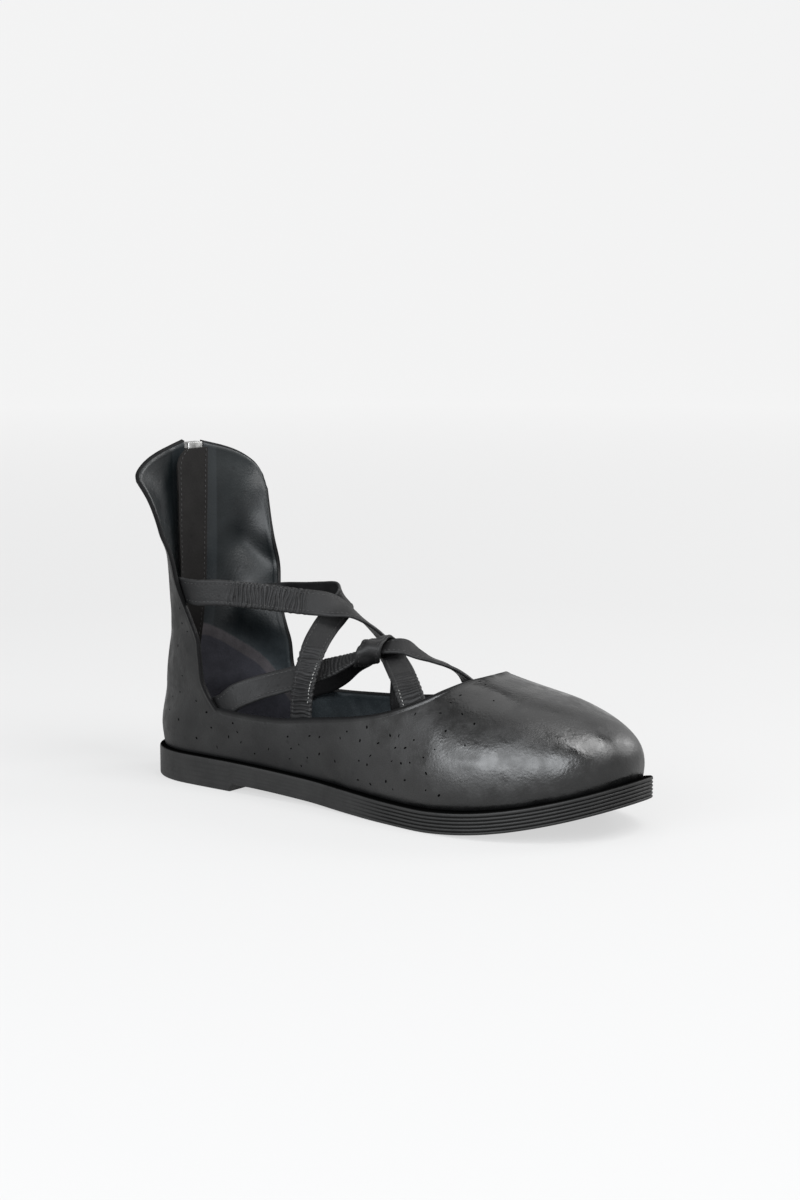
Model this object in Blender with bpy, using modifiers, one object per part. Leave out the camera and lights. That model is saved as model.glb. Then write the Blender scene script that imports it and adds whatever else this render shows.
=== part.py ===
# Flat leather ankle shoe with a back zip and knotted straps, a right shoe
#
# Frame: +X to the toe, +Y to the inner (medial) side, +Z up, floor at z = 0.
# Lengths below are in millimetres, and MM turns them into metres when a mesh is made.
# Places along the shoe are counted from a point just behind the heel. The parent empty then
# moves the whole shoe so that the middle of its box is over the origin.

import math

import bmesh
import bpy
import numpy as np

MM = 0.001

# Driving dimensions
SOLE_BACK = 1.6       # back edge of the sole
SOLE_TIP = 260.6      # tip of the sole, so it is 259 mm long
WALL = 1.8            # thickness of the upper, leather and lining together
GAP = 0.35            # clearance where two pieces meet
OUTER = -1            # the side of the little toe, towards -Y
INNER = 1             # the side of the big toe, towards +Y


def table(names, *rows):
    """A short table with named columns."""
    columns = names.split()
    return {name: np.array([row[i] for row in rows], float) for i, name in enumerate(columns)}


def flow(places, values, at):
    """Smooth value between the given places that never overshoots them."""
    step = np.diff(places)
    slope = np.diff(values) / step
    tangent = np.zeros(len(values))
    tangent[0] = slope[0]
    tangent[-1] = slope[-1]
    for i in range(1, len(slope)):
        before, after = slope[i - 1], slope[i]
        if before * after > 0:
            heavy = 2 * step[i] + step[i - 1]
            light = step[i] + 2 * step[i - 1]
            tangent[i] = (heavy + light) / (heavy / before + light / after)
    at = min(max(at, places[0]), places[-1])
    i = int(np.clip(np.searchsorted(places, at, side="right") - 1, 0, len(step) - 1))
    t = (at - places[i]) / step[i]
    start = values[i] * (1 + 2 * t) * (1 - t) ** 2 + tangent[i] * step[i] * t * (1 - t) ** 2
    end = values[i + 1] * t * t * (3 - 2 * t) - tangent[i + 1] * step[i] * t * t * (1 - t)
    return start + end


def read(tab, column, at):
    """Smooth value of one column of a table, read along its first column."""
    return flow(next(iter(tab.values())), tab[column], at)


def ease(t):
    """Soft step from 0 to 1."""
    t = min(max(t, 0.0), 1.0)
    return t * t * (3 - 2 * t)


# Footprint: the middle line bends outwards at the waist and back in at the toe.
FOOTPRINT = table(
    "along axis half",
    (0, 2.4, 30.0),
    (31, 0.0, 30.8),
    (60, -2.3, 30.4),
    (80, -3.4, 29.8),
    (105, -4.3, 29.6),
    (131, -4.8, 32.8),
    (157, -3.8, 38.8),
    (183, -1.8, 44.4),
    (210, 0.4, 46.0),
    (236, 2.2, 43.4),
    (262, 3.0, 37.0),
)
HEEL_ROUND = 36.0     # the round heel end meets the straight sides here
TOE_ROUND = 175.0     # the round toe end starts here
END_FULLNESS = 2.4    # 2 is an ellipse, more is squarer

# Profile of the sole
HEEL_BREAST = 61.0    # front of the heel block
BREAST_SLOPE = 2.5
ARCH_RISE = 3.5       # clearance just in front of the heel block
ARCH_END = 152.0      # the forefoot touches the floor from here
SPRING_START = 175.0  # and up to here
TOE_SPRING = 15.5
SOLE_TOP = table(
    "along height",
    (0, 14.2),
    (55, 14.2),
    (85, 13.3),
    (110, 12.0),
    (160, 9.9),
    (175, 9.8),
    (262, 9.8),
)

# Last: how the upper stands on the sole. Margin is the ledge of sole outside the upper,
# swell the roll of the wall over the feather line, crown the height of the ridge over the
# floor, full how square the section is (2 is an ellipse), and the flares are how far the
# quarters lean out over the waist.
LAST = table(
    "along margin swell crown full flare_outer flare_inner",
    (0, 2.4, 1.4, 118, 2.3, 0.0, 0.0),
    (57, 2.4, 1.4, 112, 2.3, 0.8, 1.0),
    (80, 2.6, 1.6, 102, 2.3, 1.4, 3.0),
    (105, 2.8, 1.8, 92, 2.3, 1.6, 4.6),
    (131, 3.0, 2.0, 82, 2.3, 1.2, 4.2),
    (160, 3.3, 2.2, 72, 2.3, 0.4, 1.6),
    (187, 3.6, 2.2, 63.4, 2.35, 0.0, 0.0),
    (200, 3.9, 2.0, 60.1, 2.45, 0.0, 0.0),
    (216, 4.2, 1.6, 56.3, 2.65, 0.0, 0.0),
    (262, 4.6, 0.9, 45.7, 2.8, 0.0, 0.0),
)
RIDGE_FALL = 0.23     # slope of the ridge where the toe starts to turn round
SWELL_HEIGHT = 45.0
FLARE_HEIGHT = 28.0
HEEL_CENTRE = 36.0    # the wall turns round this point at the heel
TOE_CENTRE = 216.0    # and round this one at the toe
QUARTER_START = 57.0  # the shaft's front edge runs down into the topline here
THROAT = 187.0        # front of the opening

TOPLINE = table(
    "along outer inner",
    (57, 38.0, 40.5),
    (75, 37.4, 41.0),
    (90, 37.7, 41.5),
    (106, 39.7, 42.5),
    (123, 42.0, 43.6),
    (139, 44.6, 45.2),
    (150, 47.3, 47.3),
    (161, 51.0, 51.0),
    (170, 55.0, 55.0),
    (178, 59.6, 59.6),
    (184, 62.6, 62.6),
    (187, 63.4, 63.4),
)

# Shaft: one row for each level. Back and front are the places of the back seam and of the
# front edge, half is half the width between the front edges, and swing is how far round
# the wall has turned there, in degrees.
SHAFT = table(
    "height back front half swing",
    (43, 2.0, 52.5, 29.6, 88),
    (50, 3.2, 49.0, 30.2, 86),
    (60, 5.0, 47.5, 30.4, 82),
    (68, 6.5, 46.0, 29.8, 78),
    (75, 7.6, 42.7, 30.4, 72),
    (84, 8.8, 38.6, 32.4, 66),
    (92, 9.5, 36.2, 33.5, 60),
    (104, 10.0, 33.5, 34.2, 56),
    (116, 10.5, 29.0, 36.2, 50),
    (131, 11.2, 23.7, 39.0, 44),
    (143, 11.6, 18.0, 43.0, 40),
    (156, 12.0, 14.0, 46.0, 38),
)
HEEL_SWING = 5.5      # the heel's own axis turns outwards by this much, in degrees
SWING_CENTRE = 31.0
SHAFT_TOP = table(
    "share outer inner",
    (0.0, 156.5, 155.5),
    (0.5, 150.5, 150.0),
    (0.8, 145.5, 144.0),
    (0.92, 143.0, 139.0),
    (1.0, 140.0, 130.5),
)

# Zip at the back
SLOT = 12.0           # the leather stops this far apart
SLOT_BOTTOM = 46.0

# Straps
STRAP_WIDTH = 12.0
STRAP_THICK = 1.6


def axis_at(x):
    return read(FOOTPRINT, "axis", x)


def half_at(x, inset):
    """Half the width of the footprint, drawn in by an inset."""
    heel = min(max((HEEL_ROUND - x) / (HEEL_ROUND - SOLE_BACK - inset), 0.0), 1.0)
    toe = min(max((x - TOE_ROUND) / (SOLE_TIP - inset - TOE_ROUND), 0.0), 1.0)
    round_heel = (1 - heel ** END_FULLNESS) ** (1 / END_FULLNESS)
    round_toe = (1 - toe ** END_FULLNESS) ** (1 / END_FULLNESS)
    return (read(FOOTPRINT, "half", x) - inset) * round_heel * round_toe


def spring_at(x):
    return TOE_SPRING * max(0.0, (x - SPRING_START) / (SOLE_TIP - SPRING_START)) ** 2


def sole_under(x):
    """Height of the underside: flat heel, arch, flat forefoot, toe spring."""
    arch_start = HEEL_BREAST + BREAST_SLOPE
    if x <= HEEL_BREAST:
        return 0.0
    if x < arch_start:
        return ARCH_RISE * (x - HEEL_BREAST) / BREAST_SLOPE
    arch = ARCH_RISE * (1 - ease((x - arch_start) / (ARCH_END - arch_start)))
    return arch + spring_at(x)


def sole_over(x):
    return read(SOLE_TOP, "height", x) + spring_at(x)


def stations(back, tip, heel_steps, side_places, toe_steps):
    """Places along the length, closer together where the ends turn round."""
    power = 2 / END_FULLNESS
    turns = np.linspace(0, math.pi / 2, heel_steps + 1)[:-1]
    heel = [HEEL_ROUND - (HEEL_ROUND - back) * math.cos(a) ** power for a in turns]
    first_toe = side_places[-1]
    turns = np.linspace(0, math.pi / 2, toe_steps + 1)[1:]
    toe = [first_toe + (tip - first_toe) * math.sin(a) for a in turns]
    return heel + list(side_places) + toe


def finish(name, mesh_data, colour, roughness, metallic=0.0, origin=(0.0, 0.0, 0.0)):
    """Turns a bmesh in millimetres into a named object in metres with its material."""
    place = np.array(origin, float)
    for vertex in mesh_data.verts:
        vertex.co = [(c - o) * MM for c, o in zip(vertex.co, place)]
    mesh = bpy.data.meshes.new(name)
    mesh_data.to_mesh(mesh)
    mesh_data.free()
    mesh.shade_smooth()
    mesh.set_sharp_from_angle(angle=math.radians(35))
    material = bpy.data.materials.new(name)
    material.use_nodes = True
    shader = material.node_tree.nodes["Principled BSDF"]
    shader.inputs["Base Color"].default_value = (*colour, 1.0)
    shader.inputs["Roughness"].default_value = roughness
    shader.inputs["Metallic"].default_value = metallic
    mesh.materials.append(material)
    thing = bpy.data.objects.new(name, mesh)
    thing.location = place * MM
    shoe_parts.objects.link(thing)
    thing.parent = shoe
    return thing


def stack_of_rings(rings):
    """Closed body from rings of points, each the outer side then the inner side, heel to toe.

    Both ends of a ring's two sides meet, and the caps join the sides across."""
    body = bmesh.new()
    count = len(rings[0][0])
    loops = []
    for outer, inner in rings:
        outer_row = [body.verts.new(p) for p in outer]
        inner_row = [body.verts.new(p) for p in inner[1:-1]]
        loops.append((outer_row, [outer_row[0]] + inner_row + [outer_row[-1]]))
    for low, high in zip(loops, loops[1:]):
        for i in range(count - 1):
            body.faces.new((low[0][i], low[0][i + 1], high[0][i + 1], high[0][i]))
            body.faces.new((low[1][i + 1], low[1][i], high[1][i], high[1][i + 1]))
    for level, flip in ((loops[0], True), (loops[-1], False)):
        for i in range(count - 1):
            corners = [level[0][i], level[0][i + 1], level[1][i + 1], level[1][i]]
            corners = list(dict.fromkeys(corners))
            body.faces.new(corners[::-1] if flip else corners)
    return body


# Outsole with its heel block, arch, toe spring and ribbed forefoot edge
RIB_COUNT = 5
RIB_DEPTH = 0.55
RIB_GROOVE = 0.7      # width of one groove
RIB_LOW = 0.16        # first groove, as a share of the sole's thickness
RIB_HIGH = 0.80       # last groove
RIB_FADE = (128.0, 165.0)
SOLE_LIP = 0.9        # rounding of the top and bottom edges


def make_outsole():
    sides = [36, 48, HEEL_BREAST, HEEL_BREAST + BREAST_SLOPE, 76, 92, 108, 124, 138, 152, 164, 175,
             186, 197, 207, 216]
    places = stations(SOLE_BACK, SOLE_TIP, 7, sides, 9)
    rows = [(0.0, 0.0, SOLE_LIP), (0.0, SOLE_LIP, 0.0)]
    for i in range(RIB_COUNT):
        share = RIB_LOW + (RIB_HIGH - RIB_LOW) * i / (RIB_COUNT - 1)
        rows += [(share, -RIB_GROOVE / 2, 0.0), (share, 0.0, -1.0), (share, RIB_GROOVE / 2, 0.0)]
    rows += [(1.0, -SOLE_LIP, 0.0), (1.0, 0.0, SOLE_LIP)]
    rings = []
    for share, lift, inset in rows:
        sides_of_ring = []
        for side in (OUTER, INNER):
            row = []
            for x in places:
                low = sole_under(x)
                high = sole_over(x)
                fade = ease((x - RIB_FADE[0]) / (RIB_FADE[1] - RIB_FADE[0]))
                draw_in = RIB_DEPTH * fade if inset < 0 else inset
                scale = (SOLE_TIP - SOLE_BACK - 2 * draw_in) / (SOLE_TIP - SOLE_BACK)
                place = SOLE_BACK + draw_in + (x - SOLE_BACK) * scale
                y = axis_at(place) + side * half_at(place, draw_in)
                row.append((place, y, low + (high - low) * share + lift))
            sides_of_ring.append(row)
        rings.append(sides_of_ring)
    finish("outsole", stack_of_rings(rings), (0.022, 0.023, 0.025), 0.55)


# Insole, a thin sock that lies on the sole inside the upper
INSOLE_THICK = 2.5
INSOLE_CLEAR = 1.2    # room between the insole's edge and the upper


def insole_inset(x):
    return read(LAST, "margin", x) + WALL + INSOLE_CLEAR


def make_insole():
    sides = [36, 52, 70, 90, 110, 130, 150, 165, 180, 195, 208]
    places = stations(SOLE_BACK + insole_inset(SOLE_BACK), SOLE_TIP - insole_inset(SOLE_TIP), 5, sides, 7)
    rings = []
    for lift in (GAP, GAP + INSOLE_THICK):
        ring = []
        for side in (OUTER, INNER):
            ring.append([(x, axis_at(x) + side * half_at(x, insole_inset(x)), sole_over(x) + lift)
                         for x in places])
        rings.append(ring)
    finish("insole", stack_of_rings(rings), (0.03, 0.026, 0.026), 0.8)


# Upper
def side_name(side):
    return "outer" if side == OUTER else "inner"


def feather(side, x):
    """Foot of the upper's wall, on the sole."""
    inset = read(LAST, "margin", x)
    return np.array([x, axis_at(x) + side * half_at(x, inset), sole_over(x) + GAP])


def crown_over(side, x):
    """Rise from the foot of the wall to the ridge that the wall leans to."""
    centre = min(max(x, HEEL_CENTRE), TOE_CENTRE)
    return read(LAST, "crown", centre) - feather(side, x)[2]


def wall(side, x, share):
    """Outer face of the upper at a share of the rise from its foot to the ridge."""
    foot = feather(side, x)
    centre = min(max(x, HEEL_CENTRE), TOE_CENTRE)
    towards = np.array([centre, axis_at(centre), foot[2]]) - foot
    reach = np.linalg.norm(towards)
    rise = share * crown_over(side, x)
    full = read(LAST, "full", x)
    lean = reach * (1 - (1 - share ** full) ** (1 / full))
    part = min(rise / min(SWELL_HEIGHT, crown_over(side, x)), 1.0)
    swell = read(LAST, "swell", x) * 6.75 * part * (1 - part) ** 2
    flare = read(LAST, "flare_" + side_name(side), x) * min(rise / FLARE_HEIGHT, 1.0) * (1 - share)
    point = foot + towards / reach * (lean - swell - flare)
    fall = RIDGE_FALL * max(point[0] - TOE_CENTRE, 0.0) * share ** 2
    return point + np.array([0.0, 0.0, rise - fall])


def swing_out(point):
    """Turns a point of the shaft's own frame with the heel's axis."""
    turn = math.radians(HEEL_SWING)
    x = point[0] - SWING_CENTRE
    y = point[1]
    return np.array([SWING_CENTRE + x * math.cos(turn) + y * math.sin(turn),
                     -x * math.sin(turn) + y * math.cos(turn), point[2]])


def slot_share(height):
    """How far round the shaft the edge of the zip's slot is."""
    swing = math.radians(read(SHAFT, "swing", height))
    return math.asin(SLOT / 2 * math.sin(swing) / read(SHAFT, "half", height)) / swing


def shaft_level(side, round_share, height):
    """Outer face of the shaft: 0 at the middle of the back, 1 at the front edge."""
    back = read(SHAFT, "back", height)
    depth = read(SHAFT, "front", height) - back
    swing = math.radians(read(SHAFT, "swing", height))
    turn = swing * round_share
    x = back + depth * (1 - math.cos(turn)) / (1 - math.cos(swing))
    y = side * read(SHAFT, "half", height) * math.sin(turn) / math.sin(swing)
    return swing_out((x, y, height))


LOW_RISES = (0.0, 6.0, 12.0, 18.0)
BACK_SHARE = 0.45      # at the back the heel's round foot starts to lean this much sooner


def heel_column(side, across):
    """Upright line of the heel and shaft as (heights, points).

    Across is 0 at the slot's edge and 1 at the front edge, and None is the middle of the back."""
    def round_share(height):
        if across is None:
            return 0.0
        start = slot_share(height)
        return start + across * (1 - start)

    inset = SOLE_BACK + read(LAST, "margin", 0)
    turn = round_share(SHAFT["height"][0]) * math.pi / 2
    x = inset + (QUARTER_START - inset) * (1 - math.cos(turn))
    foot = BACK_SHARE + (1 - BACK_SHARE) * (across or 0.0) ** 2
    points = [wall(side, x, foot * rise / crown_over(side, x)) for rise in LOW_RISES]
    points += [shaft_level(side, round_share(h), h) for h in SHAFT["height"]]
    points = np.array(points)
    return points[:, 2], points


def on_column(column, height):
    heights, points = column
    return np.array([flow(heights, points[:, 0], height), flow(heights, points[:, 1], height), height])


def band_top(side, across):
    """Height where the closed lower band of the heel ends and the shaft goes on."""
    corner = read(TOPLINE, side_name(side), QUARTER_START)
    return SLOT_BOTTOM + (corner - SLOT_BOTTOM) * across ** 2


BAND_ROWS = 11
SHAFT_ROWS = 14
HEEL_COLUMNS = 10
QUARTER_PLACES = [65, 75, 85, 95, 106, 117, 128, 138]
THROAT_STEPS = 9
VAMP_PLACES = [194, 201, 208.5, 216]
TOE_STEPS = 9


def quarter_places():
    """Columns from the shaft's front edge to the tip of the toe."""
    last_side = QUARTER_PLACES[-1]
    steps = np.linspace(1, 0, THROAT_STEPS + 1)[1:]
    throat = [THROAT - (THROAT - last_side) * s * s for s in steps]
    end = SOLE_TIP - read(LAST, "margin", SOLE_TIP)
    turns = np.linspace(0, math.pi / 2, TOE_STEPS + 1)[1:]
    toe = [TOE_CENTRE + (end - TOE_CENTRE) * math.sin(a) for a in turns]
    return QUARTER_PLACES + throat + VAMP_PLACES + toe


def quarter_column(side, x):
    """Wall points from the feather line to the topline, or to the ridge in front of the throat."""
    top = 1.0
    if x < THROAT:
        topline = read(TOPLINE, side_name(side), x)
        top = (topline - feather(side, x)[2]) / crown_over(side, x)
    full = read(LAST, "full", x)
    last_turn = math.asin(min(1.0, top) ** (full / 2))
    shares = [math.sin(last_turn * j / BAND_ROWS) ** (2 / full) for j in range(BAND_ROWS + 1)]
    return [wall(side, x, min(s, 1.0)) for s in shares]


def heel_band(side, across):
    column = heel_column(side, across)
    foot = column[0][0]
    top = band_top(side, across or 0.0)
    heights = np.linspace(foot, top, BAND_ROWS + 1)
    return [on_column(column, h) for h in heights]


def make_upper():
    shell = bmesh.new()
    acrosses = np.linspace(0, 1, HEEL_COLUMNS + 1)
    places = quarter_places()

    def as_verts(points):
        return [shell.verts.new(p) for p in points]

    back = as_verts(heel_band(OUTER, None))
    sides = {}
    for side in (OUTER, INNER):
        heel = [as_verts(heel_band(side, a)) for a in acrosses]
        rest = [as_verts(quarter_column(side, x)) for x in places[:-1]]
        sides[side] = heel + rest
    tip = as_verts(quarter_column(OUTER, places[-1]))
    ring = [back] + sides[OUTER] + [tip] + sides[INNER][::-1] + [back]
    for a, b in zip(ring, ring[1:]):
        for j in range(BAND_ROWS):
            shell.faces.new((a[j], b[j], b[j + 1], a[j + 1]))

    for side in (OUTER, INNER):
        columns = []
        for k, across in enumerate(acrosses):
            column = heel_column(side, across)
            heights = np.linspace(band_top(side, across), read(SHAFT_TOP, side_name(side), across),
                                  SHAFT_ROWS + 1)
            above = as_verts([on_column(column, h) for h in heights[1:]])
            columns.append([sides[side][k][-1]] + above)
        for a, b in zip(columns, columns[1:]):
            for j in range(SHAFT_ROWS):
                quad = (a[j], b[j], b[j + 1], a[j + 1])
                shell.faces.new(quad if side == OUTER else quad[::-1])

    bmesh.ops.remove_doubles(shell, verts=shell.verts, dist=0.01)
    upper = finish("upper", shell, (0.02, 0.021, 0.022), 0.38)
    leather = upper.modifiers.new("leather", "SOLIDIFY")
    leather.thickness = WALL * MM
    leather.offset = -1
    leather.use_even_offset = True
    return upper


# Straps
def unit(vector):
    return np.array(vector, float) / np.linalg.norm(vector)


def lining_spot(side, x, height, depth):
    """Point inside the quarter, at a depth under its outer face, with the outward direction."""
    share = (height - feather(side, x)[2]) / crown_over(side, x)
    here = wall(side, x, share)
    along = wall(side, x + 1, share) - wall(side, x - 1, share)
    upward = wall(side, x, share + 0.01) - wall(side, x, share - 0.01)
    outward = unit(np.cross(upward, along) * side)
    return here - outward * depth, outward


def shaft_spot(side, round_share, height, depth):
    """Point inside the shaft, at a depth under its outer face, with the outward direction."""
    here = shaft_level(side, round_share, height)
    along = shaft_level(side, round_share + 0.01, height) - shaft_level(side, round_share - 0.01, height)
    upward = shaft_level(side, round_share, height + 1) - shaft_level(side, round_share, height - 1)
    outward = unit(np.cross(upward, along) * side)
    return here - outward * depth, outward


SEWN_CLEAR = 1.2      # the flat straps keep this from the curved lining
STRAP_DEPTH = WALL + SEWN_CLEAR + STRAP_THICK / 2


def free_rows(route):
    """Route rows as (point, outward direction, width). Faces is the compass direction of the
    strap's outer face, from +X towards +Y, and tips is how far it tips up, both in degrees."""
    rows = []
    for x, y, z, faces, tips, width in zip(*route.values()):
        turn = math.radians(faces)
        lift = math.radians(tips)
        outward = (math.cos(lift) * math.cos(turn), math.cos(lift) * math.sin(turn), math.sin(lift))
        rows.append((np.array([x, y, z]), np.array(outward), width))
    return rows


def sewn_rows(side, spots):
    """Rows sewn to the inside of the quarter, from (along, height) pairs."""
    return [(*lining_spot(side, x, height, STRAP_DEPTH), STRAP_WIDTH) for x, height in spots]


def shaft_rows(side, spots):
    """Rows sewn to the inside of the shaft, from (share round, height) pairs."""
    return [(*shaft_spot(side, share, height, STRAP_DEPTH), STRAP_WIDTH) for share, height in spots]


def turned_over(rows):
    """The same rows with the strap's other face outwards."""
    return [(point, -outward, width) for point, outward, width in rows]


def between(rows, steps):
    """Smooth samples through route rows, by a curve that passes through each of them."""
    packed = np.array([np.concatenate([p, n, [w]]) for p, n, w in rows])
    padded = np.vstack([2 * packed[0] - packed[1], packed, 2 * packed[-1] - packed[-2]])
    samples = []
    for i in range(len(rows) - 1):
        a, b, c, d = padded[i:i + 4]
        for t in np.linspace(0, 1, steps, endpoint=False):
            samples.append(0.5 * (2 * b + (c - a) * t + (2 * a - 5 * b + 4 * c - d) * t ** 2
                                  + (3 * b - a - 3 * c + d) * t ** 3))
    samples.append(packed[-1])
    return np.array(samples)


BAND_EDGE = 0.7       # the strap's long edges are pointed by this much, as a folded edge is


def flat_band(samples, thick):
    """Closed flat band along samples of point, outward direction and width."""
    points = samples[:, :3]
    runs = np.gradient(points, axis=0)
    body = bmesh.new()
    rings = []
    for point, run, outward, width in zip(points, runs, samples[:, 3:6], samples[:, 6]):
        run = unit(run)
        face = unit(outward - run * np.dot(outward, run))
        wide = np.cross(run, face)
        half = width / 2
        section = [(half, 0), (half - BAND_EDGE, thick / 2), (BAND_EDGE - half, thick / 2),
                   (-half, 0), (BAND_EDGE - half, -thick / 2), (half - BAND_EDGE, -thick / 2)]
        rings.append([body.verts.new(point + wide * w + face * f) for w, f in section])
    for low, high in zip(rings, rings[1:]):
        for i in range(len(low)):
            j = (i + 1) % len(low)
            body.faces.new((low[i], low[j], high[j], high[i]))
    body.faces.new(rings[0][::-1])
    body.faces.new(rings[-1])
    bmesh.ops.recalc_face_normals(body, faces=body.faces)
    return body


STRAP_COLOUR = (0.018, 0.018, 0.019)
STRAP_ROUGHNESS = 0.5
ROUTE = "x y z faces tips width"

ANKLE_OUTER = table(
    ROUTE,
    (43, -31.0, 90.2, -88, 0, 12),
    (55, -28.0, 90.8, -63, 3, 12),
    (70, -20.0, 89.6, -58, 8, 12),
    (86.3, -11.7, 87.8, -54, 18, 12),
    (98.0, -4.6, 86.4, -45, 32, 12),
    (105.9, 2.7, 82.6, 18, 58, 11.5),
    (110, 13.0, 74.4, 56, 52, 12),
    (114, 19.5, 65.5, 66, 28, 12),
    (117.5, 23.0, 55.0, 80, 12, 12),
)
ANKLE_INNER = table(
    ROUTE,
    (50, 27.8, 82.9, 72, 0, 12),
    (65, 21.5, 84.9, 62, 0, 12),
    (80, 15.2, 87.2, 60, 2, 12),
    (92, 10.4, 88.8, 50, 8, 12),
    (98.0, 7.6, 87.0, 5, 26, 12),
    (97.2, 1.3, 81.0, -35, 38, 12),
    (98.0, -7.0, 76.2, -50, 40, 12),
    (99, -15.5, 69.6, -62, 36, 12),
    (100.5, -23.0, 60.5, -76, 22, 12),
    (100.8, -27.5, 50.0, -86, 8, 12),
)
CORE = table(
    ROUTE,
    (62, -26.5, 43.6, -86, 10, 12),
    (74, -22.8, 48.8, -82, 24, 12),
    (90, -17.3, 54.0, -80, 34, 12),
    (103, -11.6, 58.8, -76, 44, 11),
    (111.5, -8.4, 62.4, -72, 56, 9),
    (118, -6.4, 65.6, -66, 66, 7),
    (124.5, -4.4, 68.2, -62, 66, 7),
    (131, -2.4, 70.2, -60, 56, 8.5),
    (136.5, 1.0, 70.2, -52, 56, 9.6),
    (141.5, 5.0, 66.8, -20, 72, 9.5),
    (146.5, 8.8, 64.0, 44, 64, 9),
    (152, 13.6, 61.2, 50, 52, 11),
    (157, 18.4, 56.4, 60, 42, 12),
)
WRAP_REAR = table(
    ROUTE,
    (68, 22.3, 42.8, 84, 4, 12),
    (78, 19.8, 46.0, 82, 10, 12),
    (88, 15.8, 50.6, 78, 34, 12),
    (98, 10.6, 56.4, 66, 54, 12),
    (108, 5.0, 59.8, 46, 70, 11.5),
)
WRAP_FRONT = table(
    ROUTE,
    (143.0, -12.0, 63.2, -58, 56, 12),
    (149.5, -18.2, 61.4, -58, 50, 12),
    (156, -23.8, 58.2, -60, 46, 12),
)

# Knot: the wrapping strap goes under the core strap, once round it, and under it again
KNOT_MIDDLE = (125.2, -3.8, 68.0)
KNOT_ALONG = (16.0, 7.0, 3.6)
KNOT_WIDE = 6.4       # half width of the turn, at the middle of its leather
KNOT_HIGH = 4.9
KNOT_BAND = 11.4
KNOT_PITCH = 12.8     # advance of the turn, a little more than the strap is wide
KNOT_FROM = -70.0     # angle where it starts, counted up from the inner side
KNOT_TO = -456.0
KNOT_ROWS = 12


def knot_rows():
    """Rows of the winding: from under the core up its outer side, over it and down its inner side."""
    along = unit(KNOT_ALONG)
    sideways = unit(np.cross((0.0, 0.0, 1.0), along))
    upward = np.cross(along, sideways)
    rows = []
    for degrees in np.linspace(KNOT_FROM, KNOT_TO, KNOT_ROWS):
        turn = math.radians(degrees)
        shift = ((KNOT_FROM + KNOT_TO) / 2 - degrees) / 360 * KNOT_PITCH
        point = (np.array(KNOT_MIDDLE) + along * shift + sideways * KNOT_WIDE * math.cos(turn)
                 + upward * KNOT_HIGH * math.sin(turn))
        outward = sideways * math.cos(turn) / KNOT_WIDE + upward * math.sin(turn) / KNOT_HIGH
        rows.append((point, unit(outward), KNOT_BAND))
    return rows


def make_strap(name, rows, steps):
    finish(name, flat_band(between(rows, steps), STRAP_THICK), STRAP_COLOUR, STRAP_ROUGHNESS)


def make_straps():
    make_strap("strap_ankle_lateral", shaft_rows(OUTER, [(0.84, 89.2), (0.95, 89.6)])
               + free_rows(ANKLE_OUTER) + sewn_rows(INNER, [(119, 41.5), (119.5, 34)]), 3)
    make_strap("strap_ankle_medial", shaft_rows(INNER, [(0.84, 80.0), (0.95, 80.6)])
               + free_rows(ANKLE_INNER) + sewn_rows(OUTER, [(100.8, 38), (100.5, 31)]), 3)
    make_strap("strap_core", sewn_rows(OUTER, [(44, 33.5), (54, 38.4)])
               + free_rows(CORE) + sewn_rows(INNER, [(161, 47.5), (163, 41)]), 3)
    rear = sewn_rows(INNER, [(54, 38.0), (60, 39.4)]) + free_rows(WRAP_REAR)
    front = free_rows(WRAP_FRONT) + sewn_rows(OUTER, [(166, 49.5), (168.5, 42.5)])
    make_strap("strap_wrap", turned_over(rear) + knot_rows() + turned_over(front), 3)


# Zip
CHAIN_HALF = 2.5
TAPE_THICK = 0.7
CHAIN_TOP = 151.8
ZIP_ROWS = 14
METAL = (0.55, 0.55, 0.56)
TAPE_COLOUR = (0.012, 0.012, 0.013)


def shaft_depth(y, height):
    """Place along the shoe of the shaft's outer face at a distance from the back seam."""
    back = read(SHAFT, "back", height)
    depth = read(SHAFT, "front", height) - back
    swing = math.radians(read(SHAFT, "swing", height))
    turn = math.asin(y * math.sin(swing) / read(SHAFT, "half", height))
    return back + depth * (1 - math.cos(turn)) / (1 - math.cos(swing))


def upright_strip(levels, section):
    """Closed strip up the back. The section gives, for a height, points as (depth, across)."""
    body = bmesh.new()
    rings = [[body.verts.new(swing_out((x, y, h))) for x, y in section(h)] for h in levels]
    for low, high in zip(rings, rings[1:]):
        for i in range(len(low)):
            j = (i + 1) % len(low)
            body.faces.new((low[i], low[j], high[j], high[i]))
    body.faces.new(rings[0][::-1])
    body.faces.new(rings[-1])
    bmesh.ops.recalc_face_normals(body, faces=body.faces)
    return body


def straight_section(left, right, near, far):
    """Section of a flat strip between two distances across and two depths under the leather."""
    def section(height):
        back = read(SHAFT, "back", height)
        return [(back + near, left), (back + near, right), (back + far, right), (back + far, left)]
    return section


GUARD_SEWN = 5.5      # edge of the guard that is sewn down, on the inner side
GUARD_FREE = -14.5    # its free edge
GUARD_DEPTH = 4.6
GUARD_THICK = 1.0
GUARD_ROUND = 9.0     # radius of its rounded corner
GUARD_BOTTOM = 44.0
GUARD_TOP = 152.5


def guard_section(height):
    """Leather flap behind the zip, with a rounded corner at the top of its free edge."""
    over = max(0.0, (height - GUARD_TOP + GUARD_ROUND) / GUARD_ROUND)
    free = GUARD_FREE + GUARD_ROUND * (1 - math.sqrt(max(0.0, 1 - over ** 2)))
    across = np.linspace(free, GUARD_SEWN, 5)
    near = [(shaft_depth(y, height) + GUARD_DEPTH, y) for y in across]
    far = [(shaft_depth(y, height) + GUARD_DEPTH + GUARD_THICK, y) for y in across[::-1]]
    return near + far


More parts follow.
